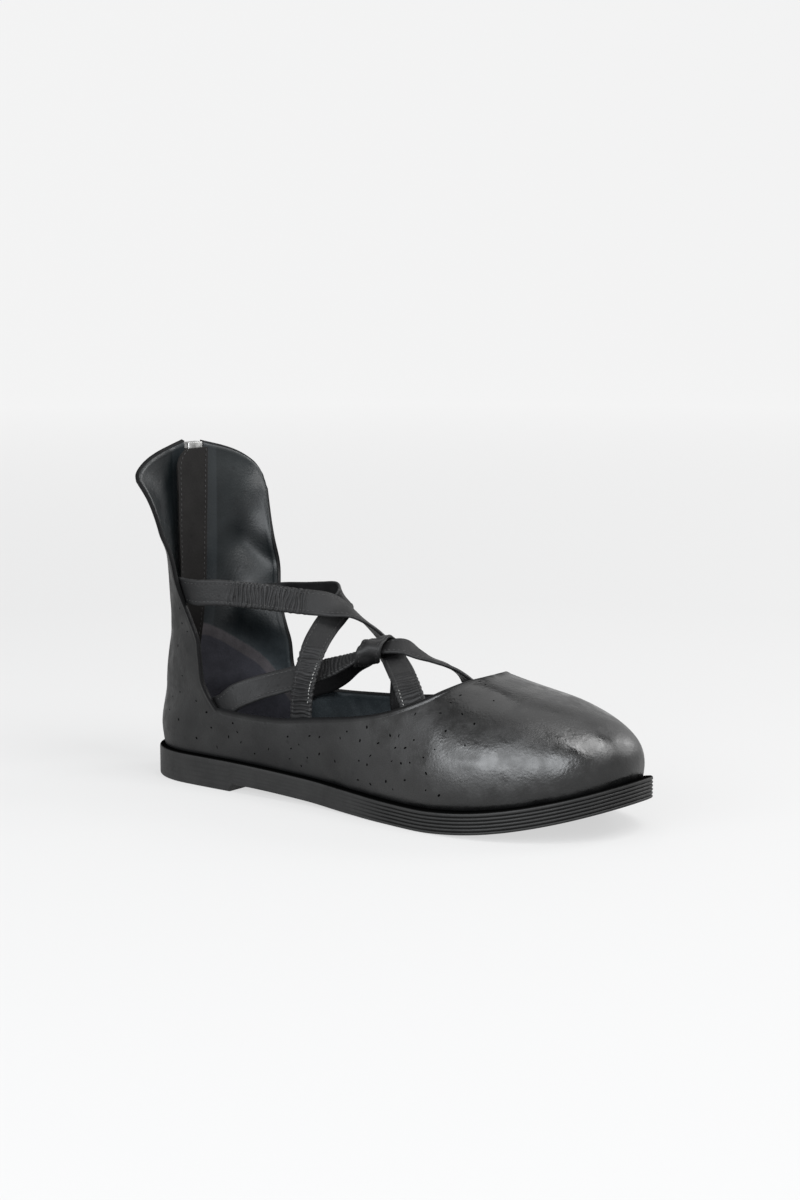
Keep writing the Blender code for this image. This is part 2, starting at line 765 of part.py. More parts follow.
def make_zip_cloth():
    bottom = SLOT_BOTTOM + GAP
    levels = np.linspace(bottom, CHAIN_TOP, ZIP_ROWS + 1)
    edge = SLOT / 2 - GAP
    for name, left, right in (("zip_tape_lateral", -edge, -CHAIN_HALF - GAP),
                              ("zip_tape_medial", CHAIN_HALF + GAP, edge)):
        strip = upright_strip(levels, straight_section(left, right, 0.6, 0.6 + TAPE_THICK))
        finish(name, strip, TAPE_COLOUR, 0.85)
    chain = upright_strip(levels, straight_section(-CHAIN_HALF, CHAIN_HALF, 0.05, 1.85))
    finish("zip_chain", chain, METAL, 0.35, 1.0)
    round_levels = [GUARD_TOP - GUARD_ROUND * (1 - math.sin(a)) for a in np.linspace(0, math.pi / 2, 6)]
    levels = list(np.linspace(GUARD_BOTTOM, GUARD_TOP - GUARD_ROUND, 11)) + round_levels[1:]
    finish("zip_guard", upright_strip(levels, guard_section), (0.016, 0.015, 0.015), 0.7)


SLIDER_HEIGHT = 149.4     # middle of the slider
SLIDER_HALF = 4.4
PLATE_OUT = (-1.75, -0.35)
PLATE_IN = (2.2, 3.2)
SLIDER_BOTTOM = 143.9
SLIDER_TOP = 155.0
SLIDER_NECK = 152.2
BAIL_HALF = 0.9
BAIL_OUT = -4.7
BAIL_BAR = 1.1
BAIL_LOW = 145.8
BAIL_HIGH = 153.6
PULL_DEPTH = -2.65        # the pull's own plane
PULL_THICK = 1.1
PULL_HALF = 2.9
PULL_EYE_HALF = 1.35
PULL_EYE_TOP = -0.55      # from the pivot
PULL_EYE_BOTTOM = -6.4
PULL_TIP = -25.0
PIVOT_HEIGHT = 147.75


def prism(outline, thick):
    """Flat outline in X and Y, thickened evenly to both sides along Z."""
    body = bmesh.new()
    face = body.faces.new([body.verts.new((x, y, -thick / 2)) for x, y in outline])
    raised = bmesh.ops.extrude_face_region(body, geom=[face])["geom"]
    moved = [v for v in raised if isinstance(v, bmesh.types.BMVert)]
    bmesh.ops.translate(body, verts=moved, vec=(0, 0, thick))
    bmesh.ops.recalc_face_normals(body, faces=body.faces)
    return body


def as_cutter(thing):
    thing.hide_render = True
    thing.display_type = "WIRE"
    shoe_parts.objects.unlink(thing)
    cutters.objects.link(thing)


def combine(thing, other, operation):
    tool = thing.modifiers.new(other.name, "BOOLEAN")
    tool.operation = operation
    tool.object = other
    as_cutter(other)


def make_slider():
    back = read(SHAFT, "back", SLIDER_HEIGHT)
    pivot = swing_out((back + PULL_DEPTH, 0.0, PIVOT_HEIGHT))
    seat = swing_out((back, 0.0, 0.0))
    swing = -math.radians(HEEL_SWING)
    side_view = (math.pi / 2, 0.0, swing)
    body = [(PLATE_OUT[0], SLIDER_BOTTOM), (PLATE_OUT[1], SLIDER_BOTTOM), (PLATE_OUT[1], SLIDER_NECK),
            (PLATE_IN[0], SLIDER_NECK), (PLATE_IN[0], SLIDER_BOTTOM), (PLATE_IN[1], SLIDER_BOTTOM),
            (PLATE_IN[1], SLIDER_TOP), (PLATE_OUT[0], SLIDER_TOP)]
    slider = finish("zip_slider", prism(body, 2 * SLIDER_HALF), METAL, 0.3, 1.0)
    sunk = PLATE_OUT[0] + 0.5
    under = BAIL_OUT + BAIL_BAR
    bail = [(sunk, BAIL_LOW), (BAIL_OUT, BAIL_LOW), (BAIL_OUT, BAIL_HIGH), (sunk, BAIL_HIGH),
            (sunk, BAIL_HIGH - BAIL_BAR), (under, BAIL_HIGH - BAIL_BAR), (under, BAIL_LOW + BAIL_BAR),
            (sunk, BAIL_LOW + BAIL_BAR)]
    loop = finish("slider_loop", prism(bail, 2 * BAIL_HALF), METAL, 0.3, 1.0)
    for thing in (slider, loop):
        thing.rotation_euler = side_view
        thing.location = seat * MM
    combine(slider, loop, "UNION")

    ends = np.linspace(0, math.pi, 9)
    tip = [(PULL_HALF * math.cos(a), PULL_TIP + PULL_HALF * (1 - math.sin(a))) for a in ends[::-1]]
    top = [(PULL_HALF, 0.1), (PULL_HALF - 0.5, 0.55), (0.5 - PULL_HALF, 0.55), (-PULL_HALF, 0.1)]
    pull = finish("zip_pull", prism(tip + top, PULL_THICK), METAL, 0.3, 1.0)
    eye = [(-PULL_EYE_HALF, PULL_EYE_BOTTOM), (PULL_EYE_HALF, PULL_EYE_BOTTOM),
           (PULL_EYE_HALF, PULL_EYE_TOP), (-PULL_EYE_HALF, PULL_EYE_TOP)]
    hole = finish("pull_eye", prism(eye, 4 * PULL_THICK), METAL, 0.3, 1.0)
    for thing in (pull, hole):
        thing.rotation_euler = (math.pi / 2, 0.0, math.pi / 2 + swing)
        thing.location = pivot * MM
    combine(pull, hole, "DIFFERENCE")


# Scene
for thing in list(bpy.data.objects):
    bpy.data.objects.remove(thing)
shoe_parts = bpy.data.collections.new("strapped_zip_flat")
bpy.context.scene.collection.children.link(shoe_parts)
cutters = bpy.data.collections.new("cutters")
bpy.context.scene.collection.children.link(cutters)
shoe = bpy.data.objects.new("shoe", None)
shoe_parts.objects.link(shoe)

make_outsole()
make_insole()
make_upper()
make_straps()
make_zip_cloth()
make_slider()

# The middle of the shoe's box goes over the origin, on the floor.
bpy.context.view_layer.update()
corners = [thing.matrix_world @ vertex.co for thing in shoe_parts.objects if thing.type == "MESH"
           for vertex in thing.data.vertices]
low = np.min(corners, axis=0)
high = np.max(corners, axis=0)
shoe.location = (-(low[0] + high[0]) / 2, -(low[1] + high[1]) / 2, 0.0)
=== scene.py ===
# %% [markdown]
# # A flat leather shoe with a back zip and knotted straps
#
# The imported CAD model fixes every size, and it holds the joint of the zip's pull. This lesson
# gives the shoe its looks: the leather with its pin-pricks, the gathered straps, the ribbed
# rubber sole, the zip with its teeth, and a pale studio round it.
#
# The upper, the sole and the straps are drawn again here from the same named sizes as the
# solids, only with finer steps, because a fine mesh of quads takes creases, gathers and beads
# that a plain solid leaves out.

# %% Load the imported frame
import math

import bmesh
import bpy
import numpy as np
from mathutils import Matrix, Vector, kdtree, noise


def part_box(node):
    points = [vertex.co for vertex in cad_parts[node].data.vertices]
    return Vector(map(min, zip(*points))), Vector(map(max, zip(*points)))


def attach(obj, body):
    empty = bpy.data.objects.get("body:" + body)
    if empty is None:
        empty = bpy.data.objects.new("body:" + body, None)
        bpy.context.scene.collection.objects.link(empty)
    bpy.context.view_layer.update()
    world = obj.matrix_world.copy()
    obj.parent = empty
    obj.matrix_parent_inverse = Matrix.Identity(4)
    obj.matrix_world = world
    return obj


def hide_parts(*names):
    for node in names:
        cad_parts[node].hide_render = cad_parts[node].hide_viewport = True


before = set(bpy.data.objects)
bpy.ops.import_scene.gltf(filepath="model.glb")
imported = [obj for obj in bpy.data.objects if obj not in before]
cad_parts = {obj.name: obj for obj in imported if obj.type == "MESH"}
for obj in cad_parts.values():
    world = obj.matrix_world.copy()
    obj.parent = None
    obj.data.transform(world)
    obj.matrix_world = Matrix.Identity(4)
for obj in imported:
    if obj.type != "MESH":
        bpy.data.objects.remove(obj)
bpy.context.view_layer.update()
MM = 0.001

# %% [markdown]
# ## Short tables that are read smoothly
#
# A shoe's shape is a handful of sizes at a few places along its length. Each table below has
# named columns, and a curve that never overshoots reads the values in between. That is how a
# last maker works with templates, and it keeps the script free of long lists of points.


# %% Tables and how they are read
def table(names, *rows):
    """A short table with named columns."""
    columns = names.split()
    return {name: np.array([row[i] for row in rows], float) for i, name in enumerate(columns)}


def flow(places, values, at):
    """Smooth value between the given places that never overshoots them."""
    step = np.diff(places)
    slope = np.diff(values) / step
    tangent = np.zeros(len(values))
    tangent[0] = slope[0]
    tangent[-1] = slope[-1]
    for i in range(1, len(slope)):
        before, after = slope[i - 1], slope[i]
        if before * after > 0:
            heavy = 2 * step[i] + step[i - 1]
            light = step[i] + 2 * step[i - 1]
            tangent[i] = (heavy + light) / (heavy / before + light / after)
    at = min(max(at, places[0]), places[-1])
    i = int(np.clip(np.searchsorted(places, at, side="right") - 1, 0, len(step) - 1))
    t = (at - places[i]) / step[i]
    start = values[i] * (1 + 2 * t) * (1 - t) ** 2 + tangent[i] * step[i] * t * (1 - t) ** 2
    end = values[i + 1] * t * t * (3 - 2 * t) - tangent[i + 1] * step[i] * t * t * (1 - t)
    return start + end


def read(tab, column, at):
    """Smooth value of one column of a table, read along its first column."""
    return flow(next(iter(tab.values())), tab[column], at)


def ease(t):
    """Soft step from 0 to 1."""
    t = np.clip(t, 0.0, 1.0)
    return t * t * (3 - 2 * t)


def unit(vector):
    """The same direction with a length of one."""
    return np.array(vector, float) / np.linalg.norm(vector)


# %% Sizes of the sole and the last, in millimetres from a point just behind the heel
OUTER = -1            # the side of the little toe, towards -Y
INNER = 1             # the side of the big toe, towards +Y
SOLE_BACK = 1.6
SOLE_TIP = 260.6
WALL = 1.8            # leather and lining together
GAP = 0.35            # clearance where two pieces meet
FOOTPRINT = table(
    "along axis half",
    (0, 2.4, 30.0),
    (31, 0.0, 30.8),
    (60, -2.3, 30.4),
    (80, -3.4, 29.8),
    (105, -4.3, 29.6),
    (131, -4.8, 32.8),
    (157, -3.8, 38.8),
    (183, -1.8, 44.4),
    (210, 0.4, 46.0),
    (236, 2.2, 43.4),
    (262, 3.0, 37.0),
)
HEEL_ROUND = 36.0     # the heel's round end reaches to here
TOE_ROUND = 175.0     # and the toe's starts here
END_FULLNESS = 2.4    # 2 is an ellipse, more is squarer
HEEL_BREAST = 61.0    # front of the heel block
BREAST_SLOPE = 2.5
ARCH_RISE = 3.5
ARCH_END = 152.0
SPRING_START = 175.0
TOE_SPRING = 15.5
SOLE_TOP = table(
    "along height",
    (0, 14.2),
    (55, 14.2),
    (85, 13.3),
    (110, 12.0),
    (160, 9.9),
    (175, 9.8),
    (262, 9.8),
)
LAST = table(
    "along margin swell crown full flare_outer flare_inner",
    (0, 2.4, 1.4, 118, 2.3, 0.0, 0.0),
    (57, 2.4, 1.4, 112, 2.3, 0.8, 1.0),
    (80, 2.6, 1.6, 102, 2.3, 1.4, 3.0),
    (105, 2.8, 1.8, 92, 2.3, 1.6, 4.6),
    (131, 3.0, 2.0, 82, 2.3, 1.2, 4.2),
    (160, 3.3, 2.2, 72, 2.3, 0.4, 1.6),
    (187, 3.6, 2.2, 63.4, 2.35, 0.0, 0.0),
    (200, 3.9, 2.0, 60.1, 2.45, 0.0, 0.0),
    (216, 4.2, 1.6, 56.3, 2.65, 0.0, 0.0),
    (262, 4.6, 0.9, 45.7, 2.8, 0.0, 0.0),
)
RIDGE_FALL = 0.23     # how fast the ridge falls in front of the toe's centre
SWELL_HEIGHT = 45.0   # the swell and the flare of the wall belong to this rise over the sole
FLARE_HEIGHT = 28.0
SWELL_SCALE = 6.75    # brings the swell's curve to a height of one
HEEL_CENTRE = 36.0    # the wall round the heel leans to this place
TOE_CENTRE = 216.0    # and the wall round the toe to this one
QUARTER_START = 57.0
THROAT = 187.0        # front end of the opening
TOPLINE = table(
    "along outer inner",
    (57, 38.0, 40.5),
    (75, 37.4, 41.0),
    (90, 37.7, 41.5),
    (106, 39.7, 42.5),
    (123, 42.0, 43.6),
    (139, 44.6, 45.2),
    (150, 47.3, 47.3),
    (161, 51.0, 51.0),
    (170, 55.0, 55.0),
    (178, 59.6, 59.6),
    (184, 62.6, 62.6),
    (187, 63.4, 63.4),
)
SHAFT = table(
    "height back front half swing",
    (43, 2.0, 52.5, 29.6, 88),
    (50, 3.2, 49.0, 30.2, 86),
    (60, 5.0, 47.5, 30.4, 82),
    (68, 6.5, 46.0, 29.8, 78),
    (75, 7.6, 42.7, 30.4, 72),
    (84, 8.8, 38.6, 32.4, 66),
    (92, 9.5, 36.2, 33.5, 60),
    (104, 10.0, 33.5, 34.2, 56),
    (116, 10.5, 29.0, 36.2, 50),
    (131, 11.2, 23.7, 39.0, 44),
    (143, 11.6, 18.0, 43.0, 40),
    (156, 12.0, 14.0, 46.0, 38),
)
HEEL_SWING = 5.5      # the heel's own axis turns outwards by this much, in degrees
SWING_CENTRE = 31.0
SHAFT_TOP = table(
    "share outer inner",
    (0.0, 156.5, 155.5),
    (0.5, 150.5, 150.0),
    (0.8, 145.5, 144.0),
    (0.92, 143.0, 139.0),
    (1.0, 140.0, 130.5),
)
SLOT = 12.0           # the leather stops this far apart at the zip
SLOT_BOTTOM = 46.0


# %% Outline and profile of the sole
def axis_at(x):
    return read(FOOTPRINT, "axis", x)


def half_at(x, inset):
    """Half the width of the footprint, drawn in by an inset."""
    heel = min(max((HEEL_ROUND - x) / (HEEL_ROUND - SOLE_BACK - inset), 0.0), 1.0)
    toe = min(max((x - TOE_ROUND) / (SOLE_TIP - inset - TOE_ROUND), 0.0), 1.0)
    round_heel = (1 - heel ** END_FULLNESS) ** (1 / END_FULLNESS)
    round_toe = (1 - toe ** END_FULLNESS) ** (1 / END_FULLNESS)
    return (read(FOOTPRINT, "half", x) - inset) * round_heel * round_toe


def spring_at(x):
    return TOE_SPRING * max(0.0, (x - SPRING_START) / (SOLE_TIP - SPRING_START)) ** 2


def sole_under(x):
    """Height of the underside: flat heel, arch, flat forefoot, toe spring."""
    arch_start = HEEL_BREAST + BREAST_SLOPE
    if x <= HEEL_BREAST:
        return 0.0
    if x < arch_start:
        return ARCH_RISE * (x - HEEL_BREAST) / BREAST_SLOPE
    arch = ARCH_RISE * (1 - ease((x - arch_start) / (ARCH_END - arch_start)))
    return arch + spring_at(x)


def sole_over(x):
    return read(SOLE_TOP, "height", x) + spring_at(x)


# The frame's origin is under the middle of the shoe's box, so the sole's own box gives the shift.
WIDEST_BETWEEN = (190.0, 225.0)
sole_low, sole_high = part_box("outsole")
edge_places = np.arange(*WIDEST_BETWEEN, 0.5)
widest = [axis_at(x) + side * half_at(x, 0) for x in edge_places for side in (OUTER, INNER)]
SHIFT = np.array([
    sole_low.x - SOLE_BACK * MM,
    (sole_low.y + sole_high.y) / 2 - (min(widest) + max(widest)) / 2 * MM,
    0.0,
])


def to_frame(points):
    """Working millimetres to the frame's metres."""
    return np.asarray(points, float) * MM + SHIFT


print("shift of the working origin in mm:", np.round(SHIFT / MM, 2))

# %% [markdown]
# ## Setting nodes in one call
#
# The floor's glow, the finishes and the repeats are all trees of nodes. A few helpers make a node,
# set its inputs and link them in one call, so that the cells below read as a list of effects.


# %% Helpers for node trees
def fill(tree, node, inputs):
    """Sets each input of a node, or links it where the value is another node's output."""
    for name, value in inputs.items():
        if isinstance(value, bpy.types.NodeSocket):
            tree.links.new(value, node.inputs[name])
        else:
            node.inputs[name].default_value = value
    return node


def add(tree, kind, inputs=None, **settings):
    """A new node with its settings and its inputs."""
    made = tree.nodes.new(kind)
    for name, value in settings.items():
        setattr(made, name, value)
    return fill(tree, made, inputs or {})


def math_node(tree, operation, *values, clamp=False):
    """The result of one sum of plain numbers or other nodes' outputs."""
    terms = dict(enumerate(values))
    return add(tree, "ShaderNodeMath", terms, operation=operation, use_clamp=clamp).outputs[0]


def start_material(name):
    """A new material, its tree, its shader, and the place on the piece that patterns follow."""
    material = bpy.data.materials.new(name)
    material.use_nodes = True
    tree = material.node_tree
    vector = add(tree, "ShaderNodeTexCoord").outputs["Object"]
    return material, tree, tree.nodes["Principled BSDF"], vector


# %% [markdown]
# ## Camera, floor and studio light
#
# The photograph looks at the outer side from in front, a little from above, with a long lens.
# The camera's place is worked out from those two angles and the distance. The floor is one round
# sheet that curves up far behind the shoe, as a paper sweep does in a studio, so that no horizon
# shows from any side. The sheet glows a little, in place of the lamps that light a backdrop, and
# the standard view transform shows its white without greying it.

# %% Camera
PHOTO_WIDTH = 800
PHOTO_HEIGHT = 1200
AIM = (130.0, 0.0, 50.0)          # the camera looks at this working point
AIM_PIXEL = (391.3, 690.0)        # and it shows here in the photograph
AZIMUTH = math.radians(36.5)
ELEVATION = math.radians(10.5)
CAMERA_DISTANCE = 1.25
LENS_PIXELS = 2781.0
SENSOR = 36.0

right = np.array([math.cos(AZIMUTH), math.sin(AZIMUTH), 0.0])
level_back = np.array([math.sin(AZIMUTH), -math.cos(AZIMUTH), 0.0])
back = level_back * math.cos(ELEVATION) + np.array([0.0, 0.0, math.sin(ELEVATION)])
upward = np.cross(back, right)
aim = to_frame(AIM)
place = aim + back * CAMERA_DISTANCE

camera_data = bpy.data.cameras.new("studio_camera")
camera_data.sensor_fit = "VERTICAL"
camera_data.sensor_height = SENSOR
camera_data.lens = LENS_PIXELS / PHOTO_HEIGHT * SENSOR
camera_data.shift_x = (PHOTO_WIDTH / 2 - AIM_PIXEL[0]) / PHOTO_HEIGHT
camera_data.shift_y = (AIM_PIXEL[1] - PHOTO_HEIGHT / 2) / PHOTO_HEIGHT
camera = bpy.data.objects.new("studio_camera", camera_data)
camera.matrix_world = Matrix.Translation(place) @ Matrix(np.array([right, upward, back]).T).to_4x4()
bpy.context.scene.collection.objects.link(camera)
bpy.context.scene.camera = camera
print("lens in mm:", round(camera_data.lens, 1))

# %% Soft lights and the world
WORLD_LIGHT = 0.5
WHITE = (1.0, 1.0, 1.0, 1.0)


def softbox(name, direction, distance, size, power, colour=WHITE[:3]):
    """A rectangular light in a direction from the shoe, turned to face it."""
    light = bpy.data.lights.new(name, "AREA")
    light.shape = "RECTANGLE"
    light.size, light.size_y = size
    light.energy = power
    light.color = colour
    lamp = bpy.data.objects.new(name, light)
    towards = Vector(unit(direction))
    lamp.location = Vector(aim) + towards * distance
    lamp.rotation_euler = towards.to_track_quat("Z", "Y").to_euler()
    bpy.context.scene.collection.objects.link(lamp)


softbox("key_softbox", direction=(0.13, -0.91, 0.38), distance=1.6, size=(2.0, 0.95), power=58,
        colour=(0.94, 0.97, 1.0))
softbox("toe_softbox", direction=(0.56, -0.04, 0.80), distance=1.5, size=(0.9, 0.8), power=30)
softbox("overhead_softbox", direction=(-0.1, 0.2, 1.0), distance=1.7, size=(1.4, 1.4), power=8)
softbox("inside_softbox", direction=(0.45, 0.75, 0.5), distance=1.7, size=(0.6, 0.6), power=16)

world = bpy.data.worlds.new("studio")
world.use_nodes = True
sky = world.node_tree.nodes["Background"]
fill(world.node_tree, sky, {"Color": WHITE, "Strength": WORLD_LIGHT})
bpy.context.scene.world = world
bpy.context.scene.view_settings.view_transform = "Standard"

# %% Round paper sweep
SWEEP_FLAT = 2.2
SWEEP_RINGS = (0.4, 1.2, SWEEP_FLAT)
SWEEP_ROUND = 1.0
SWEEP_TOP = 3.0
SWEEP_SEGMENTS = 96
PAPER_GREY = (0.1, 0.1, 0.1, 1.0)
GLOW_START = 0.6      # the glow grows from this distance to the end of the flat part
GLOW_NEAR = 0.61
GLOW_FAR = 0.78

profile = [(radius, 0.0) for radius in SWEEP_RINGS]
profile += [(SWEEP_FLAT + SWEEP_ROUND * math.sin(a), SWEEP_ROUND * (1 - math.cos(a)))
            for a in np.linspace(0, math.pi / 2, 13)[1:]]
profile.append((SWEEP_FLAT + SWEEP_ROUND, SWEEP_TOP))
sheet = bmesh.new()
rings = []
turns = np.linspace(0, 2 * math.pi, SWEEP_SEGMENTS, endpoint=False)
for radius, height in profile:
    rings.append([sheet.verts.new((radius * math.cos(a), radius * math.sin(a), height)) for a in turns])
sheet.faces.new(rings[0])
for low, high in zip(rings, rings[1:]):
    for i in range(SWEEP_SEGMENTS):
        j = (i + 1) % SWEEP_SEGMENTS
        sheet.faces.new((low[i], low[j], high[j], high[i]))
bmesh.ops.recalc_face_normals(sheet, faces=sheet.faces)
for face in sheet.faces:
    face.smooth = True
    if face.normal.z < 0 or face.normal.dot(face.calc_center_median()) > 0:
        face.normal_flip()
sweep_mesh = bpy.data.meshes.new("paper_sweep")
sheet.to_mesh(sweep_mesh)
sheet.free()
paper, paper_tree, paper_shader, paper_place = start_material("pale_paper")
paper_away = add(paper_tree, "ShaderNodeVectorMath", {0: paper_place}, operation="LENGTH")
paper_glow = add(paper_tree, "ShaderNodeMapRange",
                 {"Value": paper_away.outputs["Value"], "From Min": GLOW_START, "From Max": SWEEP_FLAT,
                  "To Min": GLOW_NEAR, "To Max": GLOW_FAR})
fill(paper_tree, paper_shader,
     {"Base Color": PAPER_GREY, "Roughness": 0.9, "Specular IOR Level": 0.1,
      "Emission Color": WHITE, "Emission Strength": paper_glow.outputs[0]})
sweep_mesh.materials.append(paper)
sweep = bpy.data.objects.new("paper_sweep", sweep_mesh)
bpy.context.scene.collection.objects.link(sweep)
print("sweep faces:", len(sweep_mesh.polygons))

# %% [markdown]
# ## Finishes that several materials share
#
# Leather shows the same effects wherever it is on a shoe: a fine grain of cells and pores, cloudy
# patches where hands and brushes have polished it, and pale wear where an edge rubs. On the
# straps' gathers the wear group also lays a painted highlight on the crests. Each is a node group,
# built once, and each material gives it its own values. The groups put out plain numbers, and the
# shader itself stays in the material.


# %% Helpers for shared groups
def new_group(name, inputs, outputs):
    """An empty shader group with named sockets, and its two end nodes."""
    tree = bpy.data.node_groups.new(name, "ShaderNodeTree")
    for socket, (kind, value) in inputs.items():
        made = tree.interface.new_socket(socket, in_out="INPUT", socket_type=kind)
        if value is not None:
            made.default_value = value
    for socket in outputs:
        tree.interface.new_socket(socket, in_out="OUTPUT", socket_type="NodeSocketFloat")
    return tree, tree.nodes.new("NodeGroupInput").outputs, tree.nodes.new("NodeGroupOutput").inputs


def use_group(tree, group, inputs):
    """The outputs of a shared group that is put to use in a material."""
    return add(tree, "ShaderNodeGroup", inputs, node_tree=group).outputs


# %% Grain: cells and pores of leather
FLOAT = "NodeSocketFloat"
VECTOR = "NodeSocketVector"
CELL_HIGH = 0.45      # what the cells, the folds and the pores do to the height
FOLD_HIGH = 0.9
PORE_DEEP = 0.35

grain_group, g_in, g_out = new_group(
    "leather_grain",
    {"Vector": (VECTOR, None), "Cells": (FLOAT, 900.0), "Folds": (FLOAT, 120.0)},
    ["Height", "Pores"])
cells = add(grain_group, "ShaderNodeTexVoronoi", {"Vector": g_in["Vector"], "Scale": g_in["Cells"]},
            feature="SMOOTH_F1")
folds = add(grain_group, "ShaderNodeTexNoise",
            {"Vector": g_in["Vector"], "Scale": g_in["Folds"], "Detail": 5.0, "Roughness": 0.62})
pores = add(grain_group, "ShaderNodeTexVoronoi", {"Vector": g_in["Vector"], "Scale": g_in["Folds"]})
pit = add(grain_group, "ShaderNodeMapRange",
          {"Value": pores.outputs["Distance"], "From Min": 0.05, "From Max": 0.16,
           "To Min": 1.0, "To Max": 0.0})
cell_part = math_node(grain_group, "MULTIPLY", cells.outputs["Distance"], CELL_HIGH)
raised = math_node(grain_group, "MULTIPLY_ADD", folds.outputs["Fac"], FOLD_HIGH, cell_part)
sunk = math_node(grain_group, "MULTIPLY", pit.outputs[0], PORE_DEEP)
grain_group.links.new(math_node(grain_group, "SUBTRACT", raised, sunk), g_out["Height"])
grain_group.links.new(pit.outputs[0], g_out["Pores"])

# %% Polish: cloudy patches from brushing and handling
WIDE_SHARE = 0.65     # share of the wide clouds, and the small ones have the rest
FINER = 4.3           # the small clouds are this much finer

polish_group, p_in, p_out = new_group(
    "polish_clouds",
    {"Vector": (VECTOR, None), "Size": (FLOAT, 26.0), "Low": (FLOAT, 0.0), "High": (FLOAT, 1.0)},
    ["Value"])
wide_cloud = add(polish_group, "ShaderNodeTexNoise",
                 {"Vector": p_in["Vector"], "Scale": p_in["Size"], "Detail": 3.0, "Roughness": 0.55,
                  "Distortion": 0.6})
finer_size = math_node(polish_group, "MULTIPLY", p_in["Size"], FINER)
small_cloud = add(polish_group, "ShaderNodeTexNoise",
                  {"Vector": p_in["Vector"], "Scale": finer_size, "Detail": 4.0, "Roughness": 0.6})
wide_part = math_node(polish_group, "MULTIPLY", wide_cloud.outputs["Fac"], WIDE_SHARE)
both = math_node(polish_group, "MULTIPLY_ADD", small_cloud.outputs["Fac"], 1 - WIDE_SHARE, wide_part)
spread = add(polish_group, "ShaderNodeMapRange",
             {"Value": both, "From Min": 0.36, "From Max": 0.64,
              "To Min": p_in["Low"], "To Max": p_in["High"]})
polish_group.links.new(spread.outputs[0], p_out["Value"])

# %% Wear: pale rubbed edges, and a pale painted highlight on gathered crests, broken up by noise
wear_sheen_group, w_in, w_out = new_group(
    "edge_wear_and_crest_sheen",
    {"Vector": (VECTOR, None), "Edge": (FLOAT, 0.0), "Amount": (FLOAT, 0.6)},
    ["Mask"])
broken = add(wear_sheen_group, "ShaderNodeTexNoise",
             {"Vector": w_in["Vector"], "Scale": 260.0, "Detail": 4.0, "Roughness": 0.7})
patchy = add(wear_sheen_group, "ShaderNodeMapRange",
             {"Value": broken.outputs["Fac"], "From Min": 0.35, "From Max": 0.7})
worn = math_node(wear_sheen_group, "MULTIPLY", w_in["Edge"], patchy.outputs[0])
wear_sheen_group.links.new(math_node(wear_sheen_group, "MULTIPLY", worn, w_in["Amount"], clamp=True), w_out["Mask"])
print("shared groups:", [g.name for g in (grain_group, polish_group, wear_sheen_group)])

# %% [markdown]
# ## Materials
#
# Black shoe leather is not black: it is a dark grey that turns lighter where polish lies on it,
# and its gloss changes from patch to patch. So colour and roughness follow the polish clouds, and
# the bump follows the grain. The edges of the upper are painted dark, and the same dark lays painted
# shade along its foot over the sole. The edges of the straps are worn pale, and the crests of their
# gathers are paler, partly from wear and partly as a painted highlight. A number that each mesh
# carries on its points says where.

# %% Leather
MIX_SHARE, MIX_FIRST, MIX_SECOND, MIX_RESULT = 0, 6, 7, 2     # the sockets of a mix of two colours
# dark edge paint of the upper and the lining, which on the upper also lays painted shade along its foot
# over the sole
EDGE_PAINT_AND_SHADE = (0.0025, 0.0025, 0.0027)
PAINT_AND_SHADE_DULL = 0.8      # share of the shine that the edge paint and the painted shade at the foot take away
WORN_PALE = 2.6       # a worn edge is this much paler than polished leather
BRUSHED_GLOSS = 0.20  # how much smoother the leather is where it was brushed to a shine
BRUSHED_SHINE = 0.22  # and how much more it shines
DARKER = 0.35         # pores and brushed leather go towards this share of the deep colour
DARKER_SHARE = 0.6    # and this far
COLOUR_CLOUDS = 26.0
GLOSS_CLOUDS = 41.0
LUMPS = 5.0           # height of the hide's slow lumps beside its fine grain
LUMP_CLOUDS = 60.0
GRAIN_STRENGTH = 0.55


def mix_colour(tree, share, first, second):
    """A blend of two colours, each a plain one or another node's output."""
    inputs = {MIX_SHARE: share}
    for socket, colour in ((MIX_FIRST, first), (MIX_SECOND, second)):
        inputs[socket] = (*colour, 1.0) if isinstance(colour, tuple) else colour
    return add(tree, "ShaderNodeMix", inputs, data_type="RGBA").outputs[MIX_RESULT]


def bump(tree, shader, height, strength, distance):
    """Makes a shader follow a height without moving the surface."""
    made = add(tree, "ShaderNodeBump", {"Height": height, "Strength": strength, "Distance": distance})
    fill(tree, shader, {"Normal": made.outputs["Normal"]})


def attribute(tree, name):
    """A number that the mesh carries on its points."""
    return add(tree, "ShaderNodeAttribute", attribute_name=name).outputs["Fac"]


